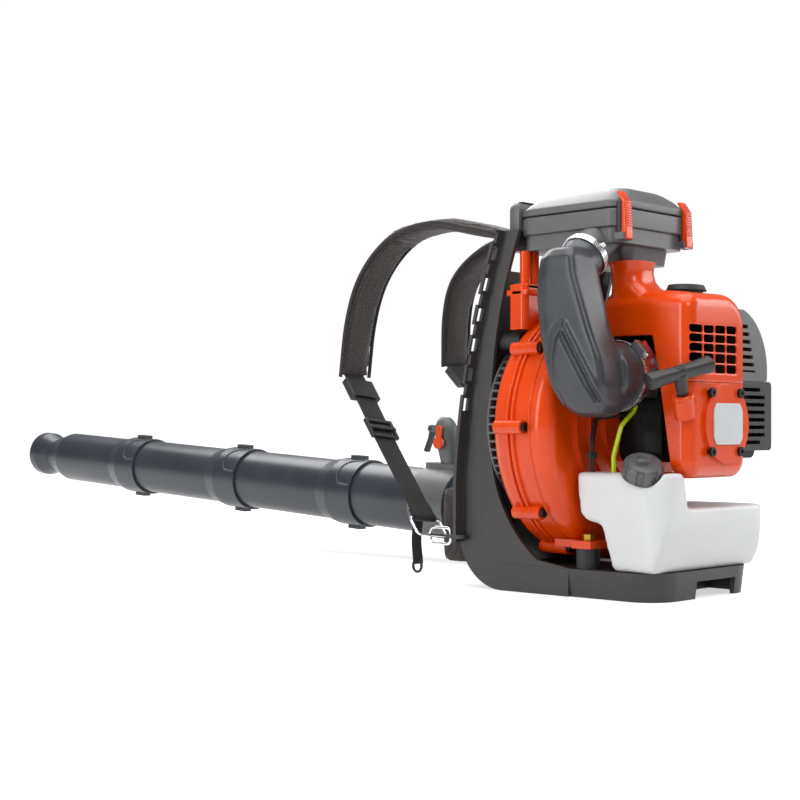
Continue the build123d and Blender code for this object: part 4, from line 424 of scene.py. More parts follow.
def heading_at(line, i):
    """Direction of a line of points at one of them."""
    return (line[min(i + 1, len(line) - 1)] - line[max(i - 1, 0)]).normalized()


def squared(value, power):
    """A sine or cosine drawn out towards one, so that a round section becomes squarer."""
    return abs(value) ** power * (1 if value > 0 else -1)


def oval(centre, across, up, halves, count, powers=(1, 1)):
    """Points round an oval section with two half sizes; powers under one make it squarer."""
    loop = []
    for k in range(count):
        angle = 2 * pi * k / count
        wide = halves[0] * squared(cos(angle), powers[0])
        tall = halves[1] * squared(sin(angle), powers[1])
        loop.append(centre + across * wide + up * tall)
    return loop


pad_cloth = woven("woven_nylon_brown_black", "#3B3534", 1.6, 0.35, 0.25)
pad_binding = woven("binding_tape_black", "#262221", 1.2, 0.3, 0.15)
thread_grey = moulded("sewing_thread_dark_grey", "#3A3432", 0.7, 0.5, 0.1)
side_way = Vector((1, 0, 0))
STRAP_X = 0.082
PAD_HALF, PAD_THICK, PAD_PUFF = 0.029, 0.0125, 0.003
PAD_POINTS, PAD_SQUARE, BINDING_POINTS = 20, (0.55, 0.75), 8
BINDING_OUT, BINDING_HALVES = 0.0005, (0.0022, 0.0032)
STITCH_IN, STITCH_HALF, STITCH_TALL = 0.0065, 0.0006, 0.0007
STITCH_ABOVE, STITCH_BELOW = 0.03, 0.024
BOX_FACES = ((0, 1, 2, 3), (4, 7, 6, 5), (0, 4, 5, 1), (1, 5, 6, 2), (2, 6, 7, 3), (3, 7, 4, 0))
# Each route in the side view, as y and z from the frame's top to the buckle
left_route = (
    (-0.0775, 0.474), (-0.14, 0.489), (-0.205, 0.502), (-0.272, 0.494),
    (-0.319, 0.469), (-0.356, 0.427), (-0.378, 0.369), (-0.390, 0.292),
)
right_route = (
    (-0.0775, 0.474), (-0.13, 0.487), (-0.185, 0.497), (-0.238, 0.490),
    (-0.286, 0.468), (-0.319, 0.435), (-0.333, 0.385), (-0.335, 0.310),
)


def stitch_row(pad, line, normals, edge, face):
    """Corners and faces of a row of stitches, laid on one face of a pad along one of its edges."""
    corners, faces = [], []
    for i in range(2, len(line) - 3):
        for part in (0.0, 0.5):
            first = len(corners)
            up = normals[i] * (face * STITCH_TALL)
            aside = side_way * STITCH_HALF
            for share in (part, part + 0.3):
                spot = line[i].lerp(line[i + 1], share)
                above = spot + side_way * (edge * (PAD_HALF - STITCH_IN)) + normals[i] * (face * STITCH_ABOVE)
                hit, place, _, _ = pad.ray_cast(above, normals[i] * -face)
                end = place if hit else above - normals[i] * (face * STITCH_BELOW)
                corners += [end - aside - up, end + aside - up, end + aside + up, end - aside + up]
            faces += [[first + n for n in quad] for quad in BOX_FACES]
    return corners, faces


for side, strap_x, route in (("left", STRAP_X, left_route), ("right", -STRAP_X, right_route)):
    line = smooth_line([Vector((strap_x, y, z)) for y, z in route], 8)
    normals = [side_way.cross(heading_at(line, i)) for i in range(len(line))]
    loops = []
    for i, (point, normal) in enumerate(zip(line, normals)):
        share = i / (len(line) - 1)
        slim = 0.55 + 0.45 * min(1, share * 9, (1 - share) * 9)
        loops.append(oval(point, side_way, normal, (PAD_HALF, PAD_THICK / 2 * slim), PAD_POINTS, PAD_SQUARE))
    pad = shell("shoulder_pad_" + side, loops)
    stuff(pad, PAD_PUFF)
    dress(pad, pad_cloth)
    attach(pad, "frame")
    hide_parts("shoulder_pads")
    # Binding tape round each edge
    for edge, edge_name in ((1, "_outer"), (-1, "_inner")):
        loops = []
        for point, normal in zip(line, normals):
            centre = point + side_way * (edge * (PAD_HALF + BINDING_OUT))
            loops.append(oval(centre, side_way, normal, BINDING_HALVES, BINDING_POINTS))
        tape = shell("pad_binding_" + side + edge_name, loops)
        dress(tape, pad_binding)
        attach(tape, "frame")
    # Stitches beside the binding, laid on the cushion's two faces
    for face, face_name in ((1, "_top"), (-1, "_under")):
        for edge, edge_name in ((1, "_outer"), (-1, "_inner")):
            corners, faces = stitch_row(pad, line, normals, edge, face)
            stitches = meshed("pad_stitches_" + side + edge_name + face_name, corners, faces)
            dress(stitches, thread_grey)
            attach(stitches, "frame")

# Back pad: a foam cushion in the same cloth on the frame's panel, stuffed, with sewn cross channels
# pressed into it that let it bend.
BACK_HALF_WIDE, BACK_HALF_TALL, BACK_SWELL = 0.078, 0.092, 0.014
BACK_GAP, BACK_DEEP, BACK_PUFF, BACK_VOXEL = 0.001, 0.019, 0.006, 0.006
BACK_LEVELS, BACK_POINTS, BACK_SQUARE = 8, 48, (0.35, 0.35)
CHANNELS, CHANNEL_HALF, CHANNEL_DEEP, CHANNEL_FROM = (-0.045, 0.0, 0.045), 0.009, 0.006, 0.008
back_middle = Vector((0, -0.1215, 0.290))
back_out = Vector((0, -0.979, 0.202))
back_up = Vector((0, 0.202, 0.979))
loops = []
for level in range(BACK_LEVELS + 1):
    share = level / BACK_LEVELS
    swell = (1 - (2 * share - 1) ** 2) ** 0.5 if 0 < share < 1 else 0.0
    halves = (BACK_HALF_WIDE + BACK_SWELL * swell, BACK_HALF_TALL + BACK_SWELL * swell)
    lift = back_out * (BACK_GAP + BACK_DEEP * share)
    loops.append([p + lift for p in oval(back_middle, side_way, back_up, halves, BACK_POINTS, BACK_SQUARE)])
back_cushion = shell("back_cushion", loops)
stuff(back_cushion, BACK_PUFF, voxel=BACK_VOXEL)
for vertex in back_cushion.data.vertices:
    height = (vertex.co - back_middle).dot(back_up)
    depth = (vertex.co - back_middle).dot(back_out)
    for channel in CHANNELS:
        press = max(0, 1 - abs(height - channel) / CHANNEL_HALF)
        if depth > CHANNEL_FROM:
            vertex.co -= back_out * (CHANNEL_DEEP * press * press)
dress(back_cushion, pad_cloth)
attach(back_cushion, "frame")
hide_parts("back_pad")

# Hip pad: a curved foam cushion in the same cloth, whose wings wrap round the wearer's hips. It is
# strung along an arc and stuffed, and it is fixed to the frame's lower edge.
HIP_RADIUS, HIP_SWEEP, HIP_THICK, HIP_TALL, HIP_LEVEL = 0.0765, 78, 0.013, 0.054, 0.081
HIP_STEPS, HIP_POINTS, HIP_TAPER, HIP_PUFF = 40, 24, 5, 0.003
hip_centre = Vector((0, -0.2308, 0))
loops = []
for step in range(HIP_STEPS + 1):
    turn = radians(-HIP_SWEEP + 2 * HIP_SWEEP * step / HIP_STEPS)
    taper = 0.6 + 0.4 * min(1, step / HIP_TAPER, (HIP_STEPS - step) / HIP_TAPER)
    loop = []
    for k in range(HIP_POINTS):
        angle = 2 * pi * k / HIP_POINTS
        radius = HIP_RADIUS + HIP_THICK * taper * squared(cos(angle), 0.8)
        tall = HIP_TALL * (0.85 + 0.15 * taper) * squared(sin(angle), 0.5)
        loop.append(hip_centre + Vector((sin(turn) * radius, cos(turn) * radius, HIP_LEVEL + tall)))
    loops.append(loop)
hip_cushion = shell("hip_cushion", loops)
stuff(hip_cushion, HIP_PUFF)
dress(hip_cushion, pad_cloth)
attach(hip_cushion, "frame")
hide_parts("hip_pad")

# Webbing: woven polyester band from each pad's buckle to a steel ring, drawn taut through a nylon
# slide, folded round the ring and sewn back on itself, with a loose tail.
web_black = woven("woven_polyester_webbing_black", "#1A1818", 1.3, 0.5, 0.1)
WEB_WIDE, WEB_THICK, WEB_POINTS, WEB_RIM, WEB_WAVE = 0.038, 0.0022, 25, 0.0012, 0.0006
RING_FAR, WEB_LAP, WEB_SHORT = 0.030, 0.014, 0.003
SLIDE_SHARE, SLIDE_EDGE = 0.42, 0.0011
MIDDLE_BAR, END_BAR, SIDE_RAIL = (0.050, 0.0062, 0.0046), (0.050, 0.0055, 0.0058), (0.0050, 0.032, 0.0058)
BAR_OFF, RAIL_OFF = 0.0145, 0.0226
FOLD_LAP, FOLD_RADIUS, FOLD_THICK = 0.026, 0.0037, 0.0020
TAIL_WIDE, TAIL_LONG, TAIL_POINTS = 0.019, 0.084, 12
strap_ends = (
    ("left", Vector((STRAP_X, -0.390, 0.292)), Vector((0.124, -0.1927, 0.0685))),
    ("right", Vector((-STRAP_X, -0.335, 0.310)), Vector((-0.100, -0.1927, 0.1605))),
)


def band(name, line, wide, across, thick):
    """A flat woven band through points, with rounded edges."""
    half, rim, crown = wide / 2, thick * 0.35, thick * 0.54
    loops = []
    for i, point in enumerate(line):
        normal = across.cross(heading_at(line, i)).normalized()
        loops.append([
            point + across * half + normal * rim, point + across * (half - WEB_RIM) + normal * thick / 2,
            point + normal * crown, point - across * (half - WEB_RIM) + normal * thick / 2,
            point - across * half + normal * rim, point - across * half - normal * rim,
            point - across * (half - WEB_RIM) - normal * thick / 2, point - normal * crown,
            point + across * (half - WEB_RIM) - normal * thick / 2, point + across * half - normal * rim,
        ])
    piece = shell(name, loops)
    creased(50)
    dress(piece, web_black)
    return piece


def cuboid(name, middle, size):
    """A box about a middle, as a piece of its own."""
    bpy.ops.object.select_all(action="DESELECT")
    bpy.ops.mesh.primitive_cube_add(size=1, location=middle, scale=size)
    piece = bpy.context.object
    piece.name = name
    bpy.ops.object.transform_apply(location=True, rotation=False, scale=True)
    return piece


def edges_rounded(offset, segments=2):
    """Round all edges of the active piece."""
    edit("SELECT")
    bpy.ops.mesh.bevel(offset=offset, segments=segments, affect="EDGES")
    leave()


for side, pad_end, ring_near in strap_ends:
    lean = (ring_near - pad_end).normalized()
    across = (side_way - lean * lean.x).normalized()
    out = across.cross(lean).normalized()
    ring_far = ring_near - lean * RING_FAR
    start = pad_end - lean * WEB_LAP
    length = (ring_far - start).length
    line = []
    for i in range(WEB_POINTS):
        share = i / (WEB_POINTS - 1)
        line.append(start + lean * ((length - WEB_SHORT) * share) + out * (WEB_WAVE * sin(share * 9)))
    web = band("webbing_" + side, line, WEB_WIDE, across, WEB_THICK)
    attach(web, "frame")
    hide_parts("strap_webbing")
    # Three-bar slide: the webbing runs over its middle bar, so its length can be set
    slide = cuboid("strap_slide_" + side, (0, 0, 0.0040), MIDDLE_BAR)
    bpy.ops.object.mode_set(mode="EDIT")
    for bar_at, bar_size in (
        ((0, BAR_OFF, 0.0016), END_BAR), ((0, -BAR_OFF, 0.0016), END_BAR),
        ((RAIL_OFF, 0, 0.0018), SIDE_RAIL), ((-RAIL_OFF, 0, 0.0018), SIDE_RAIL),
    ):
        bpy.ops.mesh.primitive_cube_add(size=1, location=bar_at, scale=bar_size)
    edges_rounded(SLIDE_EDGE)
    slide_turn = Matrix((across, lean, out)).transposed().to_4x4()
    slide.data.transform(Matrix.Translation(start + lean * (length * SLIDE_SHARE)) @ slide_turn)
    creased(35)
    dress(slide, nylon_black)
    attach(slide, "frame")
    # Fold round the ring
    fold = [ring_far - lean * FOLD_LAP + out * 0.0027, ring_far - lean * 0.008 + out * 0.0030]
    for t in (0, 0.6, 1.2, 1.8, 2.4, 3.0):
        fold.append(ring_far + out * (FOLD_RADIUS * cos(t)) + lean * (FOLD_RADIUS * sin(t)))
    fold += [ring_far - lean * 0.006 - out * 0.0026, ring_far - lean * 0.016 - out * 0.0026]
    loop_end = band("webbing_fold_" + side, fold, WEB_WIDE, across, FOLD_THICK)
    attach(loop_end, "frame")
    # Loose tail
    tail_top = ring_far - lean * FOLD_LAP
    tail_line = []
    for i in range(TAIL_POINTS):
        tail_line.append(tail_top + Vector((0, 0.0015 * sin(i * 0.7), -TAIL_LONG * i / (TAIL_POINTS - 1))))
    tail = band("webbing_tail_" + side, tail_line, TAIL_WIDE, side_way, WEB_THICK)
    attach(tail, "frame")

# Bayonet tracks: the raised J that guides each tube's peg home, moulded in polyethylene on the side
# of each collar. A half-round bead is strung along the J, which is wrapped round the tube.
TRACK_TURNS = ((-28, 16), (-14, 16), (-3, 17), (5, 23), (9, 36), (9, 52), (3, 64), (-8, 72), (-22, 75))
TRACK_POINTS, TRACK_HALVES = 10, (0.0021, 0.0017)
for name, joint, radius in (
    ("bayonet_track_rear", 0.660, 0.0583),
    ("bayonet_track_middle", 0.969, 0.0568),
    ("bayonet_track_front", 1.284, 0.0553),
):
    line = []
    for along, turned in TRACK_TURNS:
        out = Vector((cos(radians(turned)), 0, 0)) + tube_up * sin(radians(turned))
        line.append(tube_origin + tube_forward * (joint + along / 1000) + out * radius)
    line = smooth_line(line, 5)
    loops = []
    for i, point in enumerate(line):
        from_origin = point - tube_origin
        from_axis = from_origin - tube_forward * from_origin.dot(tube_forward)
        out = from_axis.normalized()
        beside = heading_at(line, i).cross(out)
        foot = point + out * (radius - from_axis.length)
        loops.append(oval(foot, beside, out, TRACK_HALVES, TRACK_POINTS))
    track = shell(name, loops)
    dress(track, tube_black)
    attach(track, "tube")


# Fan housing ridges: stiffening ribs moulded in the orange shells round the scroll, on both sides of
# its seam. A rib's section is strung along the scroll's four arcs.
RIDGE_SINK = 0.002


def spiral():
    """Points just under the scroll's rim, each with the direction outwards."""
    points = []
    for centre_x, centre_z, radius, start, turn in (
        (-0.004, 0.217, 0.174, -78, 78), (0.010, 0.217, 0.160, 0, 90),
        (0.010, 0.231, 0.146, 90, 90), (-0.004, 0.231, 0.132, 180, 40),
    ):
        for step in range(0, turn, 3):
            angle = radians(start + step)
            aim = Vector((cos(angle), 0, sin(angle)))
            points.append((Vector((centre_x, 0, centre_z)) + aim * (radius - RIDGE_SINK), aim))
    return points


for rib, (rib_y, rib_wide, rib_high) in enumerate((
    (-0.0192, 0.0045, 0.0040), (-0.0108, 0.0045, 0.0040), (0.0150, 0.0040, 0.0016),
)):
    loops = []
    for point, aim in spiral():
        base = point + Vector((0, rib_y, 0))
        half = Vector((0, rib_wide / 2, 0))
        top = aim * (rib_high + RIDGE_SINK)
        loops.append([
            base - half * 1.3, base + half * 1.3, base + half + top * 0.8,
            base + half * 0.6 + top, base - half * 0.6 + top, base - half + top * 0.8,
        ])
    ridge = shell("scroll_ridge_" + str(rib), loops)
    creased(60)
    dress(ridge, abs_orange)
    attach(ridge, "frame")


# Intake elbow: moulded rubber with a V pressed into its flat face to keep it from collapsing, clamped at
# both ends. A paddle through level loops is joined to its neck and cup, evened out and softened.
def evened(piece, voxel, rounds):
    """Even out the active piece's mesh and smooth it a number of times."""
    applied(piece, "REMESH", mode="VOXEL", voxel_size=voxel)
    applied(piece, "SMOOTH", factor=0.5, iterations=rounds)


def off_line(y, z, ends):
    """Distance in the side view from a point to a straight line between two ends."""
    (ay, az), (by, bz) = ends
    along = ((y - ay) * (by - ay) + (z - az) * (bz - az)) / ((by - ay) ** 2 + (bz - az) ** 2)
    share = max(0, min(1, along))
    return ((y - ay - share * (by - ay)) ** 2 + (z - az - share * (bz - az)) ** 2) ** 0.5


def rounded_loop(low_x, high_x, low_y, high_y, z, radii):
    """A level loop of points round a box with its own radius at each corner, from the rear inner one on."""
    corners = ((low_x, high_y, 1, -1), (low_x, low_y, 1, 1), (high_x, low_y, -1, 1), (high_x, high_y, -1, -1))
    starts = (90, 180, 270, 0)
    loop = []
    for (x, y, in_x, in_y), start, radius in zip(corners, starts, radii):
        radius = min(radius, (high_x - low_x) / 2.05, (high_y - low_y) / 2.05)
        for step in range(7):
            angle = radians(start + 15 * step)
            round_x, round_y = x + in_x * radius + cos(angle) * radius, y + in_y * radius + sin(angle) * radius
            loop.append(Vector((round_x, round_y, z)))
    return loop


ELBOW_CORNERS = (0.020, 0.020, 0.024, 0.007)
# Height, then the low and high x and the low and high y of each loop
elbow_levels = (
    (0.4425, 0.132, 0.160, 0.046, 0.074), (0.4390, 0.122, 0.172, 0.036, 0.084),
    (0.4280, 0.117, 0.180, 0.030, 0.090), (0.4050, 0.116, 0.183, 0.027, 0.095),
    (0.3750, 0.119, 0.183, 0.027, 0.105), (0.3376, 0.124, 0.183, 0.031, 0.118),
    (0.3000, 0.118, 0.182, 0.038, 0.133), (0.2667, 0.112, 0.180, 0.0465, 0.137),
    (0.2450, 0.112, 0.175, 0.059, 0.134), (0.2340, 0.117, 0.168, 0.072, 0.127),
    (0.2290, 0.126, 0.158, 0.084, 0.115),
)
NECK_RADIUS, NECK_LONG, NECK_AT = 0.029, 0.046, (0.1244, 0.061, 0.4262)
CUP_RADIUS, CUP_LONG, CUP_AT = 0.043, 0.045, (0.1130, 0.100, 0.281)
ELBOW_VOXEL, ELBOW_ROUNDS = 0.002, 12
V_FACE_X, V_FACE_TOP = 0.150, 0.36
V_HALF, V_DEEP, LIP_HALF, LIP_TALL = 0.0085, 0.0062, 0.006, 0.0022
neck_axis = Vector((0.8, 0, -0.6))
elbow = shell("intake_elbow_rubber", [rounded_loop(*plan, z, ELBOW_CORNERS) for z, *plan in elbow_levels])
edit("DESELECT")
bpy.ops.mesh.primitive_cylinder_add(
    vertices=64, radius=NECK_RADIUS, depth=NECK_LONG, location=NECK_AT,
    rotation=neck_axis.to_track_quat("Z", "Y").to_euler(),
)
bpy.ops.mesh.primitive_cylinder_add(
    vertices=64, radius=CUP_RADIUS, depth=CUP_LONG, location=CUP_AT, rotation=(0, pi / 2, 0),
)
leave()
evened(elbow, ELBOW_VOXEL, ELBOW_ROUNDS)
# The pressed lines in the side view, as y and z; the first is the long straight one with a lip beside it
rib_lines = (
    ((0.074, 0.340), (0.1257, 0.2517)), ((0.072, 0.340), (0.061, 0.326)), ((0.061, 0.326), (0.056, 0.300)),
    ((0.056, 0.300), (0.057, 0.270)), ((0.057, 0.270), (0.070, 0.2455)),
)
for vertex in elbow.data.vertices:
    if vertex.co.x > V_FACE_X and vertex.co.z < V_FACE_TOP:
        far = min(off_line(vertex.co.y, vertex.co.z, ends) for ends in rib_lines)
        inside = max(0, 1 - far / V_HALF)
        lip_far = abs(off_line(vertex.co.y - 0.0075, vertex.co.z - 0.0035, rib_lines[0]) - 0.001)
        raised = max(0, 1 - lip_far / LIP_HALF)
        vertex.co.x += LIP_TALL * raised * raised - V_DEEP * inside * inside * (3 - 2 * inside)
bpy.ops.object.shade_smooth()
dress(elbow, rubber_black)
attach(elbow, "frame")
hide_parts("intake_elbow")

# Fuel tank: milky polyethylene that lets some light through, with the faint cloudiness of a blown wall.
# It is the CAD's tank, evened out and softened at its corners.
CLOUD_SIZE, TANK_GRAIN, TANK_GRAIN_DEEP, TANK_EDGE = 45.45, 1.4286, 0.04, 0.004
TANK_VOXEL, TANK_ROUNDS = 0.0028, 14
tank_milk, tree, output = blank("blow_moulded_polyethylene_milky")
place = add(tree, "ShaderNodeTexCoord").outputs["Object"]
cloud = add(tree, "ShaderNodeTexNoise", [("Vector", place)], Scale=1000 / CLOUD_SIZE, Detail=4.0)
tint = add(tree, "ShaderNodeMix", [("Factor", cloud.outputs[0])], data_type="RGBA")
tint.inputs[6].default_value, tint.inputs[7].default_value = linear("#D6D8D9"), linear("#E2E3E3")
soft = add(tree, "ShaderNodeBevel", samples=6, Radius=TANK_EDGE)
grain = add(tree, "ShaderNodeTexNoise", [("Vector", place)], Scale=1000 / TANK_GRAIN, Detail=2.0)
glow = {"Subsurface_Weight": 0.35, "Subsurface_Radius": (0.02, 0.02, 0.02), "Subsurface_Scale": 0.6}
links = [("Base Color", tint.outputs[2])]
close(tree, output, links, grain, soft, 0.3, TANK_GRAIN_DEEP, Roughness=0.34, **glow)
tank = copied("fuel_tank", "fuel_tank_blown")
evened(tank, TANK_VOXEL, TANK_ROUNDS)
bpy.ops.object.shade_smooth()
dress(tank, tank_milk)
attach(tank, "frame")
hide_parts("fuel_tank")

# Fuel cap: a domed nylon cap with grip pockets round its shoulder and a finger tab on top. It is a
# turned drum, rounded over, with its pockets pressed in, and it screws onto the tank's neck.
CAP_RADIUS, CAP_TALL, CAP_LIFT, CAP_DOME = 0.0252, 0.0225, 0.0003, 0.0088
POCKETS, POCKET_RIM, POCKET_DEEP = 8, 0.0009, 0.0026
cap_at = Vector((0.104, 0.141, 0.156))
cap_turn = Vector((0.34, 0.42, 0.84)).normalized().to_track_quat("Z", "Y").to_matrix().to_4x4()
bpy.ops.object.select_all(action="DESELECT")
bpy.ops.mesh.primitive_cylinder_add(
    vertices=64, radius=CAP_RADIUS, depth=CAP_TALL, location=(0, 0, CAP_TALL / 2 + CAP_LIFT),
)
dome = bpy.context.object
dome.name = "fuel_cap_domed"
bpy.ops.object.transform_apply(location=True, rotation=False, scale=False)


def select_only(piece, kind, wanted):
    """Go into edit mode with those edges or polygons selected that are wanted."""
    edit("DESELECT")
    leave()
    for item in getattr(piece.data, kind):
        item.select = wanted(item)
    bpy.ops.object.mode_set(mode="EDIT")


def in_pocket(face):
    """Whether a face of the cap lies in one of the grip pockets."""
    x, y, z = face.center
    share = (atan2(y, x) / (2 * pi) * POCKETS) % 1
    return 0.006 < z < 0.0195 and 0.3 < share < 0.7 and (x ** 2 + y ** 2) ** 0.5 > 0.019


select_only(dome, "edges", lambda edge: all(dome.data.vertices[v].co.z > 0.022 for v in edge.vertices))
bpy.ops.mesh.bevel(offset=CAP_DOME, segments=6, affect="EDGES")
select_only(dome, "polygons", in_pocket)
bpy.ops.mesh.inset(thickness=POCKET_RIM, depth=-POCKET_DEEP)
bpy.ops.mesh.select_all(action="DESELECT")
bpy.ops.mesh.primitive_cube_add(size=1, location=(-0.004, -0.006, 0.0255), scale=(0.014, 0.006, 0.009))
bpy.ops.mesh.bevel(offset=0.0016, segments=2, affect="EDGES")
bpy.ops.mesh.select_all(action="DESELECT")
bpy.ops.mesh.primitive_torus_add(
    major_radius=0.009, minor_radius=0.0011, major_segments=40, minor_segments=8,
    location=(0.002, 0.004, 0.0228),
)
leave()
dome.data.transform(Matrix.Translation(cap_at) @ cap_turn)
creased(35)
dress(dome, nylon_grey)
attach(dome, "cap")
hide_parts("fuel_cap")

# Filter cover: two satin grey nylon hoods parted by a dark rubber seam, the upper one sloping in to a
# flat top. Each is a shell through rounded loops over the filter's plan.
FILTER_LEFT, FILTER_RIGHT, FILTER_FRONT, FILTER_REAR = 0.105, -0.052, -0.058, 0.108
FILTER_CORNER = 0.020


def filter_block(name, levels, material):
    """A block with rounded corners over the filter's plan, through levels of height and inset in x and y."""
    loops = []
    for z, in_x, in_y in levels:
        plan = (FILTER_RIGHT + in_x, FILTER_LEFT - in_x, FILTER_FRONT + in_y, FILTER_REAR - in_y)
        loops.append(rounded_loop(*plan, z, [FILTER_CORNER] * 4))
    block = shell(name, loops)
    applied(block, "WEIGHTED_NORMAL", weight=80)
    dress(block, material)
    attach(block, "frame")
    return block


upper_levels = (
    (0.4950, 0.0012, 0.0012), (0.4957, 0.0004, 0.0004), (0.4970, 0, 0), (0.5020, 0, 0),
    (0.5036, 0.0005, 0.0004), (0.5050, 0.0020, 0.0014), (0.5130, 0.0125, 0.0072), (0.5200, 0.0245, 0.0150),
    (0.5228, 0.0310, 0.0195), (0.5243, 0.0365, 0.0240), (0.5250, 0.0430, 0.0300),
)
lower_levels = (
    (0.4700, 0.0020, 0.0020), (0.4708, 0.0006, 0.0006), (0.4720, 0, 0),
    (0.4912, 0, 0), (0.4926, 0.0005, 0.0005), (0.4933, 0.0014, 0.0014),
)
seam_levels = ((0.4915, 0.0020, 0.0020), (0.4972, 0.0020, 0.0020))
hood = filter_block("filter_hood_upper", upper_levels, nylon_grey)
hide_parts("filter_cover")
filter_block("filter_hood_lower", lower_levels, nylon_grey)
filter_block("filter_seam_strip", seam_levels, rubber_soft)

# Filter wall: the upright end of the filter's base towards the wearer, a satin grey nylon plate with
# rounded upper corners.
WALL_THICK, WALL_TALL, WALL_LEVEL, WALL_CORNER, WALL_EDGE = 0.016, 0.039, 0.4985, 0.012, 0.002
wall_middle = ((FILTER_LEFT + FILTER_RIGHT) / 2, FILTER_FRONT - 0.005, WALL_LEVEL)
wall = cuboid("filter_end_wall", wall_middle, (FILTER_LEFT - FILTER_RIGHT - 0.002, WALL_THICK, WALL_TALL))


def upper_corner(edge):
    """Whether an edge of the wall runs from front to rear along its top."""
    first, second = [wall.data.vertices[v].co for v in edge.vertices]
    return abs(first.y - second.y) > 0.001 and first.z > WALL_LEVEL + 0.0015


select_only(wall, "edges", upper_corner)
bpy.ops.mesh.bevel(offset=WALL_CORNER, segments=5, affect="EDGES")
leave()
applied(wall, "BEVEL", width=WALL_EDGE, segments=3, limit_method="ANGLE", angle_limit=radians(30))
creased(30)
dress(wall, nylon_grey)
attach(wall, "frame")


# Latch pockets: black nylon rims on the filter's rear that the orange latches sit in, each a block
# with rounded edges.
def rounded_block(name, middle, size, radius, segments, material):
    """A box with rounded edges and a material."""
    piece = cuboid(name, middle, size)
    applied(piece, "BEVEL", width=radius, segments=segments)
    creased(30)
    dress(piece, material)
    return piece


LATCH_X = {"left": 0.094, "right": -0.041}
POCKET_SIZE, POCKET_EDGE = (0.0215, 0.0080, 0.047), 0.0025
for side, latch_x in LATCH_X.items():
    pocket_at = (latch_x - 0.0022, FILTER_REAR - 0.0035, 0.4790)
    pocket = rounded_block(side + "_latch_pocket", pocket_at, POCKET_SIZE, POCKET_EDGE, 3, nylon_black)
    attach(pocket, "frame")

# Latches: orange ABS clips that hook over the hood's slope, with finger ribs moulded across them. The
# clips are softened and bent in over the slope, and the ribs follow them.
LATCH_VOXEL, LATCH_ROUNDS, BEND_FROM, BEND_SLOPE = 0.0009, 2, 0.500, 0.6
RIB_SIZE, RIB_EDGE, RIB_COUNT, RIB_STEP = (0.0125, 0.004, 0.0018), 0.0006, 13, (0, -0.00018, 0.0032)


def bent_in(piece):
    """Lean a latch's upper part over the hood."""
    for vertex in piece.data.vertices:
        vertex.co.y -= BEND_SLOPE * max(0, vertex.co.z - BEND_FROM)


def repeated(piece, step, count):
    """Repeat the active piece in a row."""
    offset = {"use_relative_offset": False, "use_constant_offset": True, "constant_offset_displace": step}
    applied(piece, "ARRAY", **offset, count=count)


for side, body in (("left", "latch_a"), ("right", "latch_b")):
    clip = copied(side + "_latch", side + "_latch_clip")
    evened(clip, LATCH_VOXEL, LATCH_ROUNDS)
    bpy.ops.object.shade_smooth()
    bent_in(clip)
    dress(clip, abs_orange)
    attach(clip, body)
    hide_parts(side + "_latch")
    ribs = cuboid(side + "_latch_ribs", (LATCH_X[side], 0.1145, 0.470), RIB_SIZE)
    edges_rounded(RIB_EDGE)
    repeated(ribs, RIB_STEP, RIB_COUNT)
    bent_in(ribs)
    creased(40)
    dress(ribs, abs_orange)
    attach(ribs, body)

# Worm clamp threads: zinc-plated steel, the thread pressed across the bands of the two hose clamps and
# the hexagon head of the screw in each housing. One tooth is spun round the hose.
TOOTH_SIZE, TOOTH_EDGE, TOOTH_STEP = (0.0011, 0.0062, 0.0012), 0.0003, 0.0026
HEAD_RADIUS, HEAD_TALL, HEAD_EDGE, HEAD_OUT, HEAD_ALONG = 0.0038, 0.0055, 0.0006, 0.003, 0.0132
for name, middle, axis, screw_side, radius in (
    ("lower_clamp_thread", (0.097, 0.100, 0.281), (-1, 0, 0), (0, 0.7071, 0.7071), 0.0446),
    ("upper_clamp_thread", (0.114, 0.061, 0.434), (0.8, 0, -0.6), (0, 1, 0), 0.0306),
):
    middle, axis, screw_side = Vector(middle), Vector(axis), Vector(screw_side)
    along_band = axis.cross(screw_side).normalized()
    thread = cuboid(name, (0, 0, 0), TOOTH_SIZE)
    edges_rounded(TOOTH_EDGE, 1)
    tooth_turn = Matrix((along_band, axis, screw_side)).transposed().to_4x4()
    thread.data.transform(Matrix.Translation(middle + screw_side * radius) @ tooth_turn)
    edit("SELECT")
    teeth = round(2 * pi * radius / TOOTH_STEP)
    bpy.ops.mesh.spin(steps=teeth, dupli=True, angle=2 * pi, center=middle, axis=axis)
    bpy.ops.mesh.select_all(action="DESELECT")
    bpy.ops.mesh.primitive_cylinder_add(vertices=6, radius=HEAD_RADIUS, depth=HEAD_TALL)
    bpy.ops.mesh.bevel(offset=HEAD_EDGE, segments=2, affect="EDGES")
    leave()
    head_turn = Matrix((screw_side, axis, along_band)).transposed().to_4x4()
    head_at = middle + screw_side * (radius + HEAD_OUT) + along_band * HEAD_ALONG
    for vertex in thread.data.vertices:
        if vertex.co.length < 0.02:
            vertex.co = Matrix.Translation(head_at) @ head_turn @ vertex.co
    creased(40)
    dress(thread, zinc_steel)
    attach(thread, "frame")

# Shade sheets: black nylon blocks inside the engine cover that close it towards the fan and the muffler, each
# a thin block with rounded edges.
# They are dark sheets put there as painted shade, so that the inside seen through the cover's air holes reads
# dark.
for name, middle, size in (
    ("shade_sheet_front", (0.0125, 0.0685, 0.3305), (0.122, 0.003, 0.108)),
    ("shade_sheet_right", (-0.0470, 0.1250, 0.3160), (0.003, 0.116, 0.082)),
):
    shade_sheet = rounded_block(name, middle, size, 0.001, 2, nylon_black)
    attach(shade_sheet, "frame")

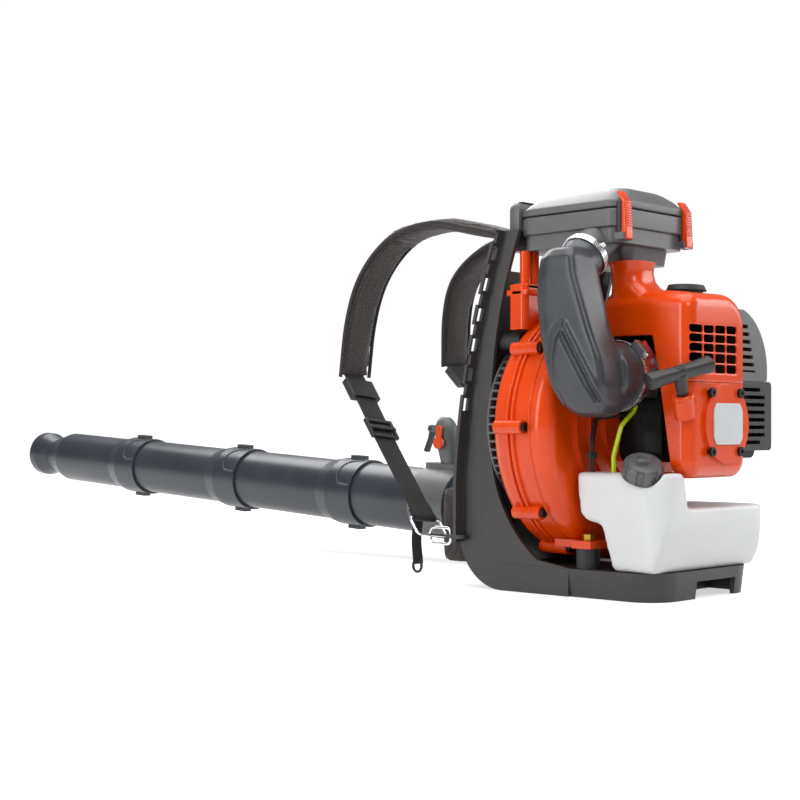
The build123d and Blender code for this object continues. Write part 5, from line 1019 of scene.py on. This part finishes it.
# Engine cover: the gloss orange shell over the cylinder, its right shoulder falling away and its air holes
# cut wide between thin bars. The CAD's holes are opened, its saddle is cut off, and its top is bent down.
HOLE_SIZE, HOLE_FIRST = (0.0232, 0.014, 0.0104), (0.062, 0.195, 0.290)
HOLE_ROWS = (((-0.026, 0, 0), 4), ((0, 0, 0.013), 5))
SADDLE_CUT_AT, SADDLE_CUT_SIZE = (0.013, 0.096, 0.4203), (0.18, 0.18, 0.060)
COVER_VOXEL, COVER_ROUNDS = 0.0014, 3
DROP_RIGHT, DROP_REAR = 0.006, 0.008
cover = copied("engine_cover", "engine_cover_shell")
cutter = cuboid("cutter", HOLE_FIRST, HOLE_SIZE)
for step, count in HOLE_ROWS:
    repeated(cutter, step, count)
bpy.ops.object.mode_set(mode="EDIT")
bpy.ops.mesh.primitive_cube_add(size=1, location=SADDLE_CUT_AT, scale=SADDLE_CUT_SIZE)
leave()
alone(cover)
applied(cover, "BOOLEAN", operation="DIFFERENCE", solver="EXACT", object=cutter)
alone(cutter)
bpy.ops.object.delete()
alone(cover)
applied(cover, "REMESH", mode="VOXEL", voxel_size=COVER_VOXEL)
for vertex in cover.data.vertices:
    beside = min(1, max(0, (0.035 - vertex.co.x) / 0.088))
    above = min(1, max(0, (vertex.co.z - 0.312) / 0.078))
    behind = min(1, max(0, (vertex.co.y - 0.120) / 0.075))
    vertex.co.z -= (DROP_RIGHT * beside * beside + DROP_REAR * behind * behind * (1 - beside)) * above
applied(cover, "SMOOTH", factor=0.5, iterations=COVER_ROUNDS)
bpy.ops.object.shade_smooth()
dress(cover, abs_orange)
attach(cover, "frame")
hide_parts("engine_cover")

# Cover neck: the waisted saddle of gloss orange ABS that rises from the cover to the filter's base, part
# of the same moulding. It is a shell through level loops.
SADDLE_CORNERS = (0.018, 0.012, 0.012, 0.018)
# Height, then the low and high x and the low and high y of each loop
neck_levels = (
    (0.3780, -0.016, 0.0752, 0.0668, 0.138), (0.3850, -0.004, 0.0742, 0.0668, 0.128),
    (0.3905, 0.004, 0.0730, 0.0668, 0.120), (0.3965, 0.0095, 0.0720, 0.0665, 0.113),
    (0.4040, 0.0135, 0.0712, 0.0660, 0.1085), (0.4140, 0.0155, 0.0712, 0.0650, 0.1065),
    (0.4230, 0.0150, 0.0722, 0.0640, 0.1070), (0.4285, 0.0130, 0.0745, 0.0620, 0.1090),
    (0.4294, 0.0130, 0.0745, 0.0620, 0.1090),
)
neck = shell("filter_neck", [rounded_loop(*plan, z, SADDLE_CORNERS) for z, *plan in neck_levels])
creased(50)
dress(neck, abs_orange)
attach(neck, "frame")
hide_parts("engine_cover")

# Starter handle: a black nylon T grip, flared to its ends, with the rope's knot hole in its top and a
# short stem. Rounded sections are strung along the bar.
GRIP_HALF, GRIP_POINTS, GRIP_SQUARE = 46, 28, (0.55, 0.55)
GRIP_WIDE, GRIP_TALL, FLARE_WIDE, FLARE_TALL = 0.0080, 0.0078, 0.0028, 0.0018
END_SHRINK = {46: 0.72, 45: 0.92}
STEM_LOW, STEM_HIGH, STEM_LONG, STEM_DROP = 0.0062, 0.0088, 0.026, 0.0160
KNOT_UP = 0.0076
handle_middle = Vector((0.097, 0.192, 0.283))
stem_lean = Vector((0.42, 0.40, 0.81)).normalized()
rope_lean = Vector((0.3606, 0.0980, 0.9275))
bar_lean = Vector((-0.86, 0.42, 0.29))
bar_lean = (bar_lean - stem_lean * bar_lean.dot(stem_lean)).normalized()
bar_side = bar_lean.cross(stem_lean).normalized()
stem_turn = stem_lean.to_track_quat("Z", "Y").to_euler()
rope_turn = rope_lean.to_track_quat("Z", "Y").to_euler()
knot_at = handle_middle + stem_lean * KNOT_UP
loops = []
for step in (-46, -45, -42, -34, -24, -12, 0, 12, 24, 34, 42, 45, 46):
    flare = (abs(step) / GRIP_HALF) ** 2
    shrink = END_SHRINK.get(abs(step), 1)
    halves = ((GRIP_WIDE + FLARE_WIDE * flare) * shrink, (GRIP_TALL + FLARE_TALL * flare) * shrink)
    centre = handle_middle + bar_lean * (step / 1000)
    loops.append(oval(centre, bar_side, stem_lean, halves, GRIP_POINTS, GRIP_SQUARE))
grip = shell("starter_grip", loops)
edit("DESELECT")
bpy.ops.mesh.primitive_cone_add(
    vertices=40, radius1=STEM_LOW, radius2=STEM_HIGH, depth=STEM_LONG,
    location=handle_middle - rope_lean * STEM_DROP, rotation=rope_turn,
)
bpy.ops.mesh.select_all(action="DESELECT")
bpy.ops.mesh.primitive_torus_add(
    major_radius=0.0048, minor_radius=0.0011, major_segments=32, minor_segments=8,
    location=knot_at, rotation=stem_turn,
)
leave()
creased(45)
dress(grip, nylon_black)
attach(grip, "pull_handle")
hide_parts("starter_handle")
# A flat dark disc in the grip's top: painted shade that stands in for the inside of the knot hole
bpy.ops.object.select_all(action="DESELECT")
bpy.ops.mesh.primitive_cylinder_add(
    vertices=32, radius=0.0046, depth=0.001, location=knot_at, rotation=stem_turn,
)
knot_shade_disc = bpy.context.object
knot_shade_disc.name = "starter_knot_hole_shade"
bpy.ops.object.transform_apply(location=True, rotation=True, scale=True)
edges_rounded(0.0003)
dress(knot_shade_disc, rubber_soft)
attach(knot_shade_disc, "pull_handle")

# Rope socket lip: the rounded rim of the socket that the grip parks in, gloss orange ABS moulded on the
# starter housing.
LIP_RADIUS, LIP_ROUND, LIP_DROP = 0.0106, 0.0036, 0.0320
bpy.ops.object.select_all(action="DESELECT")
bpy.ops.mesh.primitive_torus_add(
    major_radius=LIP_RADIUS, minor_radius=LIP_ROUND, major_segments=48, minor_segments=16,
    location=handle_middle - rope_lean * LIP_DROP, rotation=rope_turn,
)
lip = bpy.context.object
lip.name = "rope_socket_lip"
bpy.ops.object.transform_apply(location=True, rotation=True, scale=True)
bpy.ops.object.shade_smooth()
dress(lip, abs_orange)
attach(lip, "frame")

# Tower ledges: two steps of gloss orange ABS moulded round the top of the fan housing's tower, under
# the filter's posts, each a block with rounded edges.
TOWER_X, TOWER_Y, TOWER_WIDE, TOWER_DEEP, LEDGE_EDGE = 0.091, -0.048, 0.044, 0.026, 0.0022
for name, low, high, grow in (
    ("tower_ledge_lower", 0.3905, 0.3985, 0.005), ("tower_ledge_upper", 0.3985, 0.4062, 0.002),
):
    size = (TOWER_WIDE + 2 * grow, TOWER_DEEP + 2 * grow, high - low)
    ledge = rounded_block(name, (TOWER_X, TOWER_Y, (low + high) / 2), size, LEDGE_EDGE, 3, abs_orange)
    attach(ledge, "frame")

# Starter rope: braided black cord between the housing's socket and the handle, a copy of the CAD's rope.
rope = copied("starter_rope", "braided_rope")
dress(rope, web_black)
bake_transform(rope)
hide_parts("starter_rope")
